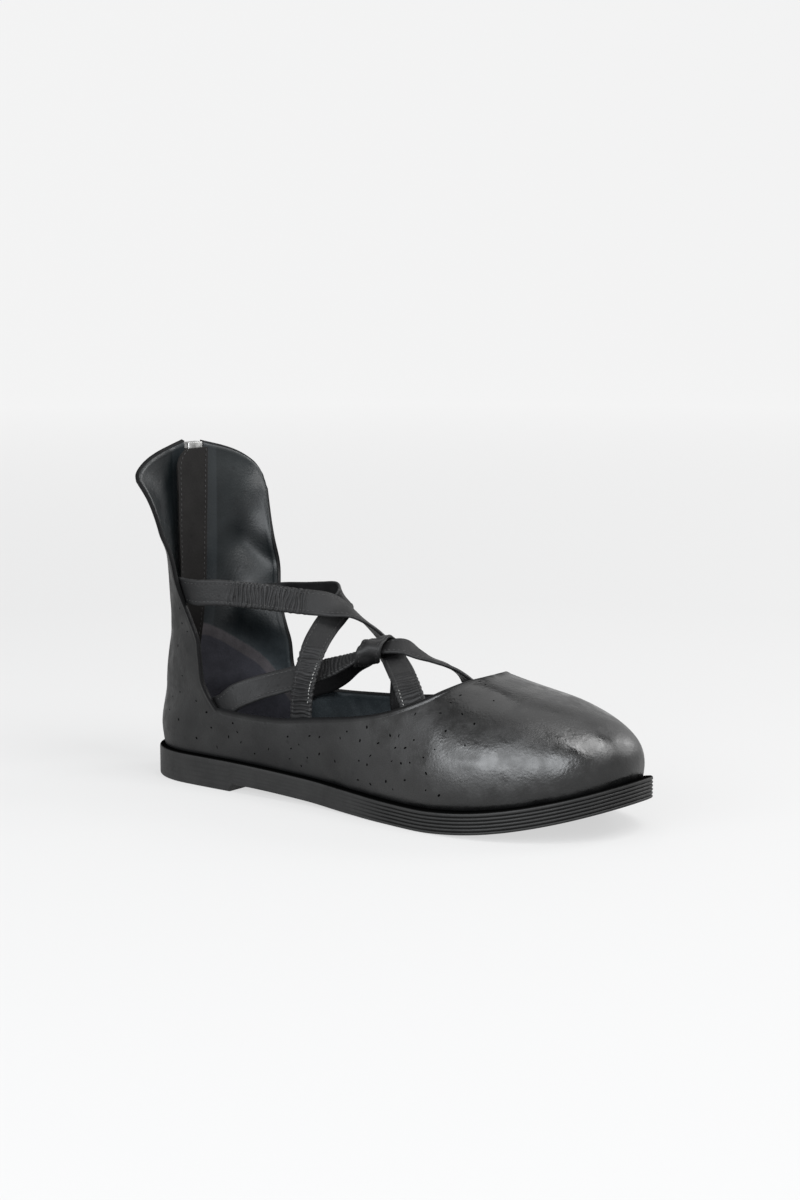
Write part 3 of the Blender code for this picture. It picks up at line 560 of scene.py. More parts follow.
def leather(name, deep, polished, gloss, shine, cells=900.0, folds=120.0, depth=0.00025, wear=None):
    """Polished leather: two colours, a range of roughness, the grain's sizes, and the wear of its
    edges, which are painted dark where no wear is given; on the upper that dark also lays painted
    shade along its foot."""
    material, tree, shader, vector = start_material(name)
    clouds = use_group(tree, polish_group, {"Vector": vector, "Size": COLOUR_CLOUDS})
    grain = use_group(tree, grain_group, {"Vector": vector, "Cells": cells, "Folds": folds})
    edge = attribute(tree, "edge")
    brushed = attribute(tree, "brushed")
    darker = tuple(DARKER * c for c in deep)
    colour = mix_colour(tree, clouds["Value"], deep, polished)
    colour = mix_colour(tree, math_node(tree, "MULTIPLY", grain["Pores"], DARKER_SHARE), colour, darker)
    shine_here = math_node(tree, "MULTIPLY_ADD", brushed, BRUSHED_SHINE, shine)
    if wear is None:
        # The upper's edge number also carries painted shade along its foot, which this dark colour and the
        # dulled shine lay down.
        colour = mix_colour(tree, edge, colour, EDGE_PAINT_AND_SHADE)
        kept = math_node(tree, "SUBTRACT", 1.0, math_node(tree, "MULTIPLY", edge, PAINT_AND_SHADE_DULL))
        shine_here = math_node(tree, "MULTIPLY", shine_here, kept)
    else:
        wear_and_sheen = use_group(tree, wear_sheen_group, {"Vector": vector, "Edge": edge, "Amount": wear})
        colour = mix_colour(tree, wear_and_sheen["Mask"], colour, tuple(WORN_PALE * c for c in polished))
    colour = mix_colour(tree, math_node(tree, "MULTIPLY", brushed, DARKER_SHARE), colour, darker)
    dull = use_group(tree, polish_group,
                     {"Vector": vector, "Size": GLOSS_CLOUDS, "Low": gloss[0], "High": gloss[1]})
    smoother = math_node(tree, "MULTIPLY", brushed, BRUSHED_GLOSS)
    rough = math_node(tree, "SUBTRACT", dull["Value"], smoother)
    fill(tree, shader, {"Base Color": colour, "Roughness": rough, "Specular IOR Level": shine_here})
    lumps = add(tree, "ShaderNodeTexNoise", {"Vector": vector, "Scale": LUMP_CLOUDS, "Detail": 1.0})
    height = math_node(tree, "MULTIPLY_ADD", lumps.outputs["Fac"], LUMPS, grain["Height"])
    bump(tree, shader, height, GRAIN_STRENGTH, depth)
    return material


upper_leather = leather(
    "black_upper_leather", (0.0030, 0.0030, 0.0031), (0.0090, 0.0091, 0.0089),
    gloss=(0.34, 0.72), shine=0.23, depth=0.00022)
lining_leather = leather(
    "lining_leather", (0.0022, 0.0031, 0.0036), (0.0050, 0.0067, 0.0074),
    gloss=(0.32, 0.52), shine=0.23, cells=1100.0, depth=0.0002)
strap_leather = leather(
    "strap_leather", (0.0026, 0.0026, 0.0028), (0.0072, 0.0072, 0.0074),
    gloss=(0.44, 0.62), shine=0.16, cells=1200.0, folds=170.0, wear=0.8)
guard_leather = leather(
    "guard_leather", (0.003, 0.0026, 0.0025), (0.006, 0.0055, 0.0052),
    gloss=(0.6, 0.78), shine=0.12, cells=1300.0, depth=0.0002, wear=0.3)
print("leathers:", [m.name for m in (upper_leather, lining_leather, strap_leather, guard_leather)])

# %% Rubber, cloth, metal and thread
RUBBER_GLOSS = (0.5, 0.66)
RUBBER_SHINE = 0.24
RUBBER_WEAR = 0.6
RUBBER_PALE = 2.2     # a worn edge is this much paler than dusty rubber
# colour of the painted shade in the sole's grooves and on the ledge beside the upper
GROOVE_SHADE_COLOUR = (0.001, 0.001, 0.001)
CLOTH_ROUGH = 0.88
THREAD_ROUGH = 0.7


def rubber(name, deep, dusty):
    """Dull rubber with dusty patches, worn edges, and painted shade in its grooves, which also takes away
    their shine.
    """
    material, tree, shader, vector = start_material(name)
    clouds = use_group(tree, polish_group, {"Vector": vector, "Size": 34.0})
    edge = use_group(tree, wear_sheen_group,
                     {"Vector": vector, "Edge": attribute(tree, "edge"), "Amount": RUBBER_WEAR})
    groove_shading = attribute(tree, "groove_shading")
    colour = mix_colour(tree, clouds["Value"], deep, dusty)
    colour = mix_colour(tree, edge["Mask"], colour, tuple(RUBBER_PALE * c for c in dusty))
    colour = mix_colour(tree, groove_shading, colour, GROOVE_SHADE_COLOUR)
    low, high = RUBBER_GLOSS
    dull = use_group(tree, polish_group, {"Vector": vector, "Size": 50.0, "Low": low, "High": high})
    # The painted shade in the grooves also takes away their shine.
    shine = math_node(tree, "MULTIPLY", math_node(tree, "SUBTRACT", 1.0, groove_shading), RUBBER_SHINE)
    fill(tree, shader,
         {"Base Color": colour, "Roughness": dull["Value"], "Specular IOR Level": shine})
    speck = add(tree, "ShaderNodeTexNoise",
                {"Vector": vector, "Scale": 900.0, "Detail": 5.0, "Roughness": 0.7})
    bump(tree, shader, speck.outputs["Fac"], 0.3, 0.0002)
    return material


def woven(name, deep, pale, threads):
    """Cloth of two crossing sets of threads, as fine as the given scale."""
    material, tree, shader, vector = start_material(name)
    across, along = (
        add(tree, "ShaderNodeTexWave", {"Vector": vector, "Scale": threads, "Distortion": 0.6},
            bands_direction=direction).outputs["Fac"]
        for direction in ("Y", "Z"))
    weave = math_node(tree, "MAXIMUM", across, along)
    clouds = use_group(tree, polish_group, {"Vector": vector, "Size": 90.0})
    share = math_node(tree, "MULTIPLY", weave, clouds["Value"])
    fill(tree, shader, {"Base Color": mix_colour(tree, share, deep, pale), "Roughness": CLOTH_ROUGH})
    bump(tree, shader, weave, 0.6, 0.0003)
    return material


def metal(name, bright, dull_colour, gloss):
    """Cast metal with dull patches and fine scratches."""
    material, tree, shader, vector = start_material(name)
    clouds = use_group(tree, polish_group, {"Vector": vector, "Size": 160.0})
    colour = mix_colour(tree, clouds["Value"], dull_colour, bright)
    dull = use_group(tree, polish_group,
                     {"Vector": vector, "Size": 420.0, "Low": gloss[0], "High": gloss[1]})
    fill(tree, shader, {"Base Color": colour, "Metallic": 1.0, "Roughness": dull["Value"]})
    scratch = add(tree, "ShaderNodeTexNoise", {"Vector": vector, "Scale": 1500.0, "Detail": 3.0})
    bump(tree, shader, scratch.outputs["Fac"], 0.15, 0.0001)
    return material


def thread(name, deep, pale, shine=0.5):
    """Twisted thread of two tones."""
    material, tree, shader, vector = start_material(name)
    twist = add(tree, "ShaderNodeTexNoise", {"Vector": vector, "Scale": 2600.0, "Detail": 2.0})
    colour = mix_colour(tree, twist.outputs["Fac"], deep, pale)
    fill(tree, shader,
         {"Base Color": colour, "Roughness": THREAD_ROUGH, "Specular IOR Level": shine})
    bump(tree, shader, twist.outputs["Fac"], 0.4, 0.0001)
    return material


sole_rubber = rubber("sole_rubber", (0.0036, 0.0036, 0.0036), (0.0078, 0.0078, 0.0076))
sock_cloth = woven("sock_lining", (0.008, 0.008, 0.009), (0.018, 0.018, 0.019), 700.0)
tape_cloth = woven("zip_tape", (0.006, 0.006, 0.006), (0.02, 0.02, 0.02), 900.0)
zip_metal = metal("zip_metal", (0.36, 0.36, 0.355), (0.17, 0.17, 0.165), (0.28, 0.46))
dark_thread = thread("dark_thread", (0.002, 0.002, 0.002), (0.009, 0.009, 0.009))
pale_thread = thread("pale_thread", (0.05, 0.05, 0.05), (0.22, 0.22, 0.21))
# The pricks are flat dark ovals: painted shade inside the holes.
prick_hole_shade = thread("prick_hole_shade", (0.0005, 0.0005, 0.0005), (0.002, 0.002, 0.002), shine=0.0)
print("materials:", len(bpy.data.materials))

# %% [markdown]
# ## From points to pieces
#
# Every piece below is a mesh in the frame's metres whose object stays at the origin, so that
# patterns on object coordinates stay where they are when the part is exported. Small helpers make
# such a piece, store numbers on its points, such as how close a point is to an edge, and join
# rings of points with quads.


# %% Helpers that make a piece
SHARP_ANGLE = math.radians(50)    # edges that turn by more than this stay sharp in the shading
SAME_POINT = 0.01     # points closer than this become one


def new_piece(name, mesh, materials):
    """An object at the origin with its mesh and materials."""
    for material in materials:
        mesh.materials.append(material)
    thing = bpy.data.objects.new(name, mesh)
    bpy.context.scene.collection.objects.link(thing)
    return thing


def store(mesh, numbers):
    """Stores numbers on a mesh's points, where materials and trees read them."""
    for label, values in numbers.items():
        held = mesh.attributes.get(label) or mesh.attributes.new(label, "FLOAT", "POINT")
        held.data.foreach_set("value", np.asarray(values, np.float32))


def mesh_from(name, points, faces, numbers):
    """A smooth mesh in the frame from working points, with numbers stored on the points."""
    mesh = bpy.data.meshes.new(name)
    mesh.from_pydata([tuple(p) for p in to_frame(points)], [], faces)
    store(mesh, numbers)
    mesh.shade_smooth()
    mesh.update()
    return mesh


def ring_quads(rows, ring):
    """Quads between closed rings of points that lie one after another."""
    quads = []
    for row in range(rows - 1):
        here, there = row * ring, (row + 1) * ring
        for i in range(ring):
            j = (i + 1) % ring
            quads.append((here + i, here + j, there + j, there + i))
    return quads


def apply_modifiers(thing):
    """Turns a piece with modifiers into a plain mesh."""
    graph = bpy.context.evaluated_depsgraph_get()
    done = bpy.data.meshes.new_from_object(thing.evaluated_get(graph), depsgraph=graph)
    thing.modifiers.clear()
    thing.data = done
    return thing


def round_edges(thing, radius, degrees):
    """Rounds the edges of a piece that turn by more than an angle."""
    bevel = thing.modifiers.new("rounded", "BEVEL")
    bevel.limit_method = "ANGLE"
    bevel.angle_limit = math.radians(degrees)
    bevel.width = radius * MM
    bevel.segments = 2
    apply_modifiers(thing)
    thing.data.shade_smooth()


def triangles(thing):
    """Number of triangles of a piece."""
    thing.data.calc_loop_triangles()
    return len(thing.data.loop_triangles)


# %% [markdown]
# ## Sole
#
# The sole is one moulded rubber unit: a low heel block, an arch, a flat forefoot and a toe that
# springs up. Its forefoot edge has five fine grooves that fade out towards the heel. The shape is
# a stack of closed rings from the underside to the top, and each groove is six of those rings.

# %% Outsole
RIB_COUNT = 5
RIB_DEPTH = 0.55
RIB_LOW = 0.16        # first groove, as a share of the thickness
RIB_HIGH = 0.80
RIB_FADE = (128.0, 165.0)
RIB_PROFILE = ((-0.50, 0.0), (-0.32, 0.25), (-0.12, 0.9), (0.12, 0.9), (0.32, 0.25), (0.50, 0.0))
SOLE_LIP = 0.9
SOLE_STEP = 4.0       # between places along the sides
FOREPART = 68.0       # the even places go on from here in front of the heel block
HEEL_STEPS = 26
TOE_STEPS = 36
SIDE_WEAR = 0.35      # of the wall, beside 1 at the lower edge
# strength of the painted shade in the rib grooves
GROOVE_SHADE = 0.8
LEDGE_SHADE = (0.05, 0.3)     # painted shade on the ledge beside the upper, over this part of the lip


def sole_stations():
    """Places along the length, closer together where the ends turn round."""
    power = 2 / END_FULLNESS
    turns = np.linspace(0, math.pi / 2, HEEL_STEPS + 1)[:-1]
    heel = [HEEL_ROUND - (HEEL_ROUND - SOLE_BACK) * math.cos(a) ** power for a in turns]
    heel += list(np.arange(HEEL_ROUND, HEEL_BREAST - 1, SOLE_STEP))
    slope_end = HEEL_BREAST + BREAST_SLOPE
    breast = [HEEL_BREAST - 0.3, HEEL_BREAST, slope_end, slope_end + 0.3]
    forepart = list(np.arange(FOREPART, TOE_CENTRE, SOLE_STEP))
    turns = np.linspace(0, math.pi / 2, TOE_STEPS + 1)[1:]
    toe = [TOE_CENTRE + (SOLE_TIP - TOE_CENTRE) * math.sin(a) for a in turns]
    return heel + breast + forepart + toe


# Each row has its share of the thickness, its lift from there, its inset and its groove's depth.
sole_rows = []
for angle in np.linspace(0, math.pi / 2, 5):
    sole_rows.append((0.0, SOLE_LIP * (1 - math.cos(angle)), SOLE_LIP * (1 - math.sin(angle)), 0.0))
for rib in range(RIB_COUNT):
    rib_share = RIB_LOW + (RIB_HIGH - RIB_LOW) * rib / (RIB_COUNT - 1)
    sole_rows += [(rib_share, lift, 0.0, deep) for lift, deep in RIB_PROFILE]
for angle in np.linspace(math.pi / 2, 0, 5):
    sole_rows.append((1.0, -SOLE_LIP * (1 - math.cos(angle)), SOLE_LIP * (1 - math.sin(angle)), 0.0))

sole_places = sole_stations()
sole_points = []
sole_edge = []
sole_groove_shading = []
for share, lift, inset, deep in sole_rows:
    for side in (OUTER, INNER):
        for x in sole_places if side == OUTER else sole_places[-2:0:-1]:
            fade = ease((x - RIB_FADE[0]) / (RIB_FADE[1] - RIB_FADE[0]))
            draw_in = inset + RIB_DEPTH * deep * fade
            scale = (SOLE_TIP - SOLE_BACK - 2 * draw_in) / (SOLE_TIP - SOLE_BACK)
            along = SOLE_BACK + draw_in + (x - SOLE_BACK) * scale
            across = axis_at(along) + side * half_at(along, draw_in)
            low, high = sole_under(x), sole_over(x)
            sole_points.append((along, across, low + (high - low) * share + lift))
            wear = SIDE_WEAR if deep == 0 else 0.0
            if share == 0.0 and inset > 0:
                wear = 1.0
            sole_edge.append(wear)
            # Painted shade: the top rows beside the upper darken on the ledge, and the grooves darken with
            # their depth.
            shaded_ledge = 0.0
            if share == 1.0:
                shaded_ledge = ease((inset - LEDGE_SHADE[0] * SOLE_LIP) / (LEDGE_SHADE[1] * SOLE_LIP))
            sole_groove_shading.append(max(shaded_ledge, GROOVE_SHADE * deep * fade))
ring_size = 2 * len(sole_places) - 2
sole_faces = ring_quads(len(sole_rows), ring_size)
top_ring = (len(sole_rows) - 1) * ring_size
# Between two places, one face closes the underside and one the top. At the ends it is a triangle.
for i in range(len(sole_places) - 1):
    corners = list(dict.fromkeys([i, -i % ring_size, -(i + 1) % ring_size, i + 1]))
    sole_faces.append(tuple(corners))
    sole_faces.append(tuple(top_ring + c for c in corners[::-1]))
sole_numbers = {"edge": sole_edge, "groove_shading": sole_groove_shading}
sole_mesh = mesh_from("sole_unit", sole_points, sole_faces, sole_numbers)
outsole = new_piece("sole_unit", sole_mesh, [sole_rubber])
outsole.data.set_sharp_from_angle(angle=SHARP_ANGLE)
print("sole triangles:", triangles(outsole))

# %% [markdown]
# ## Upper
#
# The upper is one leather shell, lasted over a foot form: vamp and quarters stand on the sole's
# feather line, and the heel goes on upwards as a tall shaft that is open in front. It is drawn as
# columns of points from the feather line to the open edge, with close rows along that edge for
# the bead of the folded leather. Creases are soft troughs and ridges along given lines.


# %% The last's wall and the shaft
def side_name(side):
    """The column of a table that belongs to a side."""
    return "outer" if side == OUTER else "inner"


def feather(side, x):
    """Foot of the upper's wall, on the sole."""
    inset = read(LAST, "margin", x)
    return np.array([x, axis_at(x) + side * half_at(x, inset), sole_over(x) + GAP])


def crown_over(side, x):
    """Rise from the foot of the wall to the ridge that the wall leans to."""
    centre = min(max(x, HEEL_CENTRE), TOE_CENTRE)
    return read(LAST, "crown", centre) - feather(side, x)[2]


def wall(side, x, share):
    """Outer face of the upper at a share of the rise from its foot to the ridge."""
    foot = feather(side, x)
    centre = min(max(x, HEEL_CENTRE), TOE_CENTRE)
    towards = np.array([centre, axis_at(centre), foot[2]]) - foot
    reach = np.linalg.norm(towards)
    rise_full = read(LAST, "crown", centre) - foot[2]
    rise = share * rise_full
    full = read(LAST, "full", x)
    lean = reach * (1 - (1 - share ** full) ** (1 / full))
    part = min(rise / min(SWELL_HEIGHT, rise_full), 1.0)
    swell = read(LAST, "swell", x) * SWELL_SCALE * part * (1 - part) ** 2
    flare = read(LAST, "flare_" + side_name(side), x) * min(rise / FLARE_HEIGHT, 1.0) * (1 - share)
    point = foot + towards / reach * (lean - swell - flare)
    fall = RIDGE_FALL * max(point[0] - TOE_CENTRE, 0.0) * share ** 2
    return point + np.array([0.0, 0.0, rise - fall])


def swing_out(point):
    """Turns a point of the shaft's own frame with the heel's axis."""
    turn = math.radians(HEEL_SWING)
    x = point[0] - SWING_CENTRE
    y = point[1]
    return np.array([SWING_CENTRE + x * math.cos(turn) + y * math.sin(turn),
                     -x * math.sin(turn) + y * math.cos(turn), point[2]])


def shaft_swing(height):
    """Angle round the shaft from the middle of the back to the front edge."""
    return math.radians(read(SHAFT, "swing", height))


def shaft_turn(y, height):
    """Angle round the shaft at a distance to one side of the middle of the back."""
    return math.asin(y * math.sin(shaft_swing(height)) / read(SHAFT, "half", height))


def shaft_back(turn, height):
    """Place along the shoe of the shaft's outer face, at an angle round the shaft."""
    seam = read(SHAFT, "back", height)
    depth = read(SHAFT, "front", height) - seam
    return seam + depth * (1 - math.cos(turn)) / (1 - math.cos(shaft_swing(height)))


def slot_share(height):
    """How far round the shaft the edge of the zip's slot is."""
    return shaft_turn(SLOT / 2, height) / shaft_swing(height)


def shaft_level(side, round_share, height):
    """Outer face of the shaft: 0 at the middle of the back, 1 at the front edge."""
    swing = shaft_swing(height)
    turn = swing * round_share
    y = side * read(SHAFT, "half", height) * math.sin(turn) / math.sin(swing)
    return swing_out((shaft_back(turn, height), y, height))


LOW_RISES = (0.0, 6.0, 12.0, 18.0)    # of the points below the shaft
BACK_SHARE = 0.45     # at the back they stand at this share of those rises


def heel_column(side, across):
    """Upright line of the heel and shaft: across is 0 at the slot, 1 at the front, None at the seam."""
    def round_share(height):
        if across is None:
            return 0.0
        start = slot_share(height)
        return start + across * (1 - start)

    inset = SOLE_BACK + read(LAST, "margin", 0)
    turn = round_share(SHAFT["height"][0]) * math.pi / 2
    x = inset + (QUARTER_START - inset) * (1 - math.cos(turn))
    foot = BACK_SHARE + (1 - BACK_SHARE) * (across or 0.0) ** 2
    points = [wall(side, x, foot * rise / crown_over(side, x)) for rise in LOW_RISES]
    points += [shaft_level(side, round_share(h), h) for h in SHAFT["height"]]
    return np.array(points)


def on_column(column, height):
    """Point of an upright line at a height."""
    heights = column[:, 2]
    return np.array([flow(heights, column[:, 0], height), flow(heights, column[:, 1], height), height])


def band_top(side, across):
    """Height where the closed lower band of the heel ends and the shaft goes on."""
    corner = read(TOPLINE, side_name(side), QUARTER_START)
    return SLOT_BOTTOM + (corner - SLOT_BOTTOM) * across ** 2


# %% Columns of points, with close rows along the open edges
EDGE_STEPS = np.array([0.0, 0.5, 1.0, 1.5, 2.0, 2.4, 2.9, 3.6])
BAND_ROWS = 34
SHAFT_ROWS = 44
SHAFT_ARC = 45.0      # rough length round the shaft from the slot to the front edge
FINE_STEPS = 48
CLOSE_FROM = (0.7, 0.3)   # the band's rows draw close to its upper edge only from here to the front
TOPLINE_RISES = 138.0     # from here to the throat the columns come closer together


def edge_spread(total, rows):
    """Distances from an open edge, close together at the edge."""
    rest = np.linspace(EDGE_STEPS[-1], total, rows + 2 - len(EDGE_STEPS))[1:]
    return np.concatenate([EDGE_STEPS, rest])


def lengths_along(points):
    """Length from a line's start to each of its points."""
    return np.concatenate([[0], np.cumsum(np.linalg.norm(np.diff(points, axis=0), axis=1))])


def resample(points, rows, closeness):
    """Points of a line at rows places, spread evenly or drawn to the line's upper end."""
    points = np.array(points)
    lengths = lengths_along(points)
    total = lengths[-1]
    even = np.linspace(total, 0, rows + 1)
    down = even * (1 - closeness) + edge_spread(total, rows)[::-1] * closeness
    return np.array([np.interp(total - down, lengths, points[:, k]) for k in range(3)]).T


def quarter_line(side, x):
    """Wall from the feather line to the topline, or to the ridge in front of the throat."""
    top = 1.0
    if x < THROAT:
        top = (read(TOPLINE, side_name(side), x) - feather(side, x)[2]) / crown_over(side, x)
    full = read(LAST, "full", x)
    last_turn = math.asin(min(1.0, top) ** (full / 2))
    shares = [math.sin(last_turn * j / FINE_STEPS) ** (2 / full) for j in range(FINE_STEPS + 1)]
    return resample([wall(side, x, min(s, 1.0)) for s in shares], BAND_ROWS, 1.0)


def heel_line(side, across):
    """Closed lower band of the heel, up to the corner of the topline or the slot's lower end."""
    column = heel_column(side, across)
    top = band_top(side, across or 0.0)
    heights = np.linspace(column[0, 2], top, FINE_STEPS + 1)
    closeness = ease(((across or 0.0) - CLOSE_FROM[0]) / CLOSE_FROM[1])
    return resample([on_column(column, h) for h in heights], BAND_ROWS, closeness)


def shaft_line(side, across):
    """The shaft over that band, up to its open top."""
    column = heel_column(side, across)
    top = read(SHAFT_TOP, side_name(side), across)
    heights = np.linspace(band_top(side, across), top, FINE_STEPS + 1)
    return resample([on_column(column, h) for h in heights], SHAFT_ROWS, 1.0)


slot_steps = SHAFT_ARC - np.array([1.5, 0.7, 0.0])
from_front = np.concatenate([edge_spread(SHAFT_ARC - 3.0, 30), slot_steps])
acrosses = 1 - from_front[::-1] / SHAFT_ARC
corner_places = [57.6, 58.3, 59.2, 60.4, 62.0]
side_places = list(np.arange(64, 137, 2.5))
throat_places = [THROAT - (THROAT - TOPLINE_RISES) * s * s for s in np.linspace(1, 0, 29)]
vamp_places = list(np.linspace(THROAT, TOE_CENTRE, 13)[1:])
toe_end = SOLE_TIP - read(LAST, "margin", SOLE_TIP)
toe_turns = np.linspace(0, math.pi / 2, 29)[1:]
toe_places = [TOE_CENTRE + (toe_end - TOE_CENTRE) * math.sin(a) for a in toe_turns]
quarter_places = corner_places + side_places + throat_places + vamp_places + toe_places
print("columns:", len(acrosses), "round the heel and", len(quarter_places), "to the toe, for each side")

# %% Outer face of the shell
shell = bmesh.new()
open_edge = []
slot_edge = []


def as_verts(points):
    """New points of the shell."""
    return [shell.verts.new(p) for p in points]


back_line = as_verts(heel_line(OUTER, None))
columns = {}
for side in (OUTER, INNER):
    columns[side] = [as_verts(heel_line(side, a)) for a in acrosses]
    columns[side] += [as_verts(quarter_line(side, x)) for x in quarter_places[:-1]]
    for k, x in enumerate(quarter_places[:-1]):
        if x <= THROAT:
            open_edge.append(columns[side][len(acrosses) + k][-1].co.copy())
tip_line = as_verts(quarter_line(OUTER, quarter_places[-1]))
around = [back_line] + columns[OUTER] + [tip_line] + columns[INNER][::-1] + [back_line]
for a, b in zip(around, around[1:]):
    for j in range(BAND_ROWS):
        shell.faces.new((a[j], b[j], b[j + 1], a[j + 1]))
for side in (OUTER, INNER):
    upright = []
    for k, across in enumerate(acrosses):
        above = as_verts(shaft_line(side, across)[1:])
        upright.append([columns[side][k][-1]] + above)
        open_edge.append(above[-1].co.copy())
    open_edge += [v.co.copy() for v in upright[-1]]
    slot_edge += [v.co.copy() for v in upright[0]]
    for a, b in zip(upright, upright[1:]):
        for j in range(SHAFT_ROWS):
            quad = (a[j], b[j], b[j + 1], a[j + 1])
            shell.faces.new(quad if side == OUTER else quad[::-1])
bmesh.ops.remove_doubles(shell, verts=shell.verts, dist=SAME_POINT)
shell.normal_update()
shell_points = np.array([v.co for v in shell.verts])
shell_normals = np.array([v.normal for v in shell.verts])
print("shell points:", len(shell_points))


# %% Creases, bead and the slight unevenness of leather
def nearest(spots, points):
    """Distance of each point from the nearest of the given spots."""
    tree = kdtree.KDTree(len(spots))
    for i, spot in enumerate(spots):
        tree.insert(spot, i)
    tree.balance()
    return np.array([tree.find(p)[2] for p in points])


JOINED = 6.0          # spots further apart than this belong to different stretches of an edge


def dense(spots, step=0.4):
    """The same spots, with more between neighbours that are close enough to be joined."""
    filled = list(spots)
    for a, b in zip(spots, spots[1:]):
        gap = (b - a).length
        if gap < JOINED:
            filled += [a.lerp(b, t) for t in np.linspace(0, 1, max(2, int(gap / step)))[1:-1]]
    return filled


# Depth is outwards from the foot. A pair of a trough and a ridge makes one fold of the soft shaft.
CREASES = table(
    "x1 y1 z1 x2 y2 z2 width depth",
    (20.5, 22.0, 111.0, 40.0, 32.5, 92.0, 8.6, 4.2),
    (25.0, 23.8, 78.0, 46.0, 28.5, 64.0, 8.0, -2.8),
    (11.8, -13.6, 153.0, 12.4, -14.6, 138.0, 1.8, -0.6),
    (16.0, -24.0, 128.0, 24.0, -33.0, 112.0, 5.0, 0.8),
    (22.0, -27.0, 96.0, 40.0, -32.0, 80.0, 5.0, -0.8),
    (14.0, -18.0, 74.0, 40.0, -30.0, 62.0, 6.0, 0.7),
    (30.0, -29.5, 52.0, 62.0, -30.0, 44.0, 7.0, 0.5),
    (150.0, -36.0, 42.0, 176.0, -41.0, 36.0, 6.0, -0.35),
    (158.0, -36.0, 48.0, 184.0, -37.0, 44.0, 6.0, 0.3),
    (150.0, 36.0, 42.0, 176.0, 41.0, 36.0, 6.0, -0.4),
)
CREASE_END = 0.25     # a crease fades out over this share of its length, on both sides of its ends
UNEVEN = 0.22         # height of the slow unevenness
UNEVEN_SIZE = 28.0
UNEVEN_FROM = (2.0, 10.0)     # it starts this far from the open edge, and grows over this distance
BEAD_WIDE = 2.1       # folded edge along the opening
BEAD_HIGH = 0.24
BEAD_GROOVE = 0.16    # depth of the groove beside it
GROOVE_OFF = 0.35
GROOVE_WIDE = 0.4
PAINT_WIDE = 1.5      # of the painted rim
FOOT_SHADE_HEIGHT = 1.7       # height of the painted shade over the sole, where the upper meets it
PRICKS_CLEAR = 3.0    # the pricks keep this far from the open edge and from the sole
PRICKS_FADE = (3.0, 4.0)      # and grow to their full number over these distances
PRICKS_END = (208.0, 24.0)    # they end here, after thinning out over this distance
HEEL_PRICKS = 0.4     # share of them at the heel
HEEL_THINNED = (40.0, 70.0)   # the heel's share goes up from here over this distance
BRUSHED_FROM = (118.0, 60.0)  # the toe was brushed from here on, growing over this distance


def crease_depth(points):
    """Depth of all creases together at each point."""
    depth = np.zeros(len(points))
    for x1, y1, z1, x2, y2, z2, width, high in zip(*CREASES.values()):
        start = np.array([x1, y1, z1])
        run = np.array([x2, y2, z2]) - start
        share = (points - start) @ run / (run @ run)
        off = np.linalg.norm(points - start - np.outer(np.clip(share, 0, 1), run), axis=1)
        fade = ease((share + CREASE_END) / (2 * CREASE_END))
        fade = fade * ease((1 + CREASE_END - share) / (2 * CREASE_END))
        depth += high * np.exp(-(off / width) ** 2) * fade
    return depth


edge_away = nearest(dense(open_edge), shell_points)
slot_away = nearest(dense(slot_edge), shell_points)
uneven = np.array([noise.noise(Vector(p) / UNEVEN_SIZE) for p in shell_points]) * UNEVEN
quiet = ease((edge_away - UNEVEN_FROM[0]) / UNEVEN_FROM[1])
bead = BEAD_HIGH * np.sqrt(np.clip(1 - ((edge_away - BEAD_WIDE / 2) / (BEAD_WIDE / 2)) ** 2, 0, 1))
bead -= BEAD_GROOVE * np.exp(-((edge_away - BEAD_WIDE - GROOVE_OFF) / GROOVE_WIDE) ** 2)
lift = crease_depth(shell_points) + uneven * quiet + bead
shell_points = shell_points + shell_normals * lift[:, None]
for vertex, point in zip(shell.verts, to_frame(shell_points)):
    vertex.co = point
shell_mesh = bpy.data.meshes.new("upper_shell")
shell.to_mesh(shell_mesh)
shell.free()
shell_mesh.shade_smooth()
places = shell_points[:, 0]
over_sole = shell_points[:, 2] - np.array([sole_over(x) for x in places])
to_toe = ease((PRICKS_END[0] - places) / PRICKS_END[1])
to_heel = HEEL_PRICKS + (1 - HEEL_PRICKS) * ease((places - HEEL_THINNED[0]) / HEEL_THINNED[1])
prickly = ease((edge_away - PRICKS_CLEAR) / PRICKS_FADE[0])
prickly *= ease((over_sole - PRICKS_CLEAR) / PRICKS_FADE[1])
prickly *= to_toe * to_heel
edge_paint_and_foot_shade = np.exp(-(edge_away / PAINT_WIDE) ** 4)
# Painted shade in a thin band over the sole, where the upper meets it, joins the edge paint.
edge_paint_and_foot_shade = np.clip(edge_paint_and_foot_shade + np.exp(-(over_sole / FOOT_SHADE_HEIGHT) ** 4), 0, 1)
brushed = ease((places - BRUSHED_FROM[0]) / BRUSHED_FROM[1])
store(shell_mesh, {"edge": edge_paint_and_foot_shade, "brushed": brushed, "prickly": prickly, "slot_away": slot_away})
print("deepest crease in mm:", round(float(np.abs(crease_depth(shell_points)).max()), 2))

# %% [markdown]
# ## Pin-pricks in the leather
#
# The hide is pricked with small holes, a few millimetres apart and never in rows. Geometry
# Nodes scatter points over the shell, no closer than a given distance, and put a small dark oval
# on each, turned at random, as painted shade inside the hole. The tree keeps off the toe and the
# edges, and sets fewer at the heel, because the shell carries a number that says how many there are.


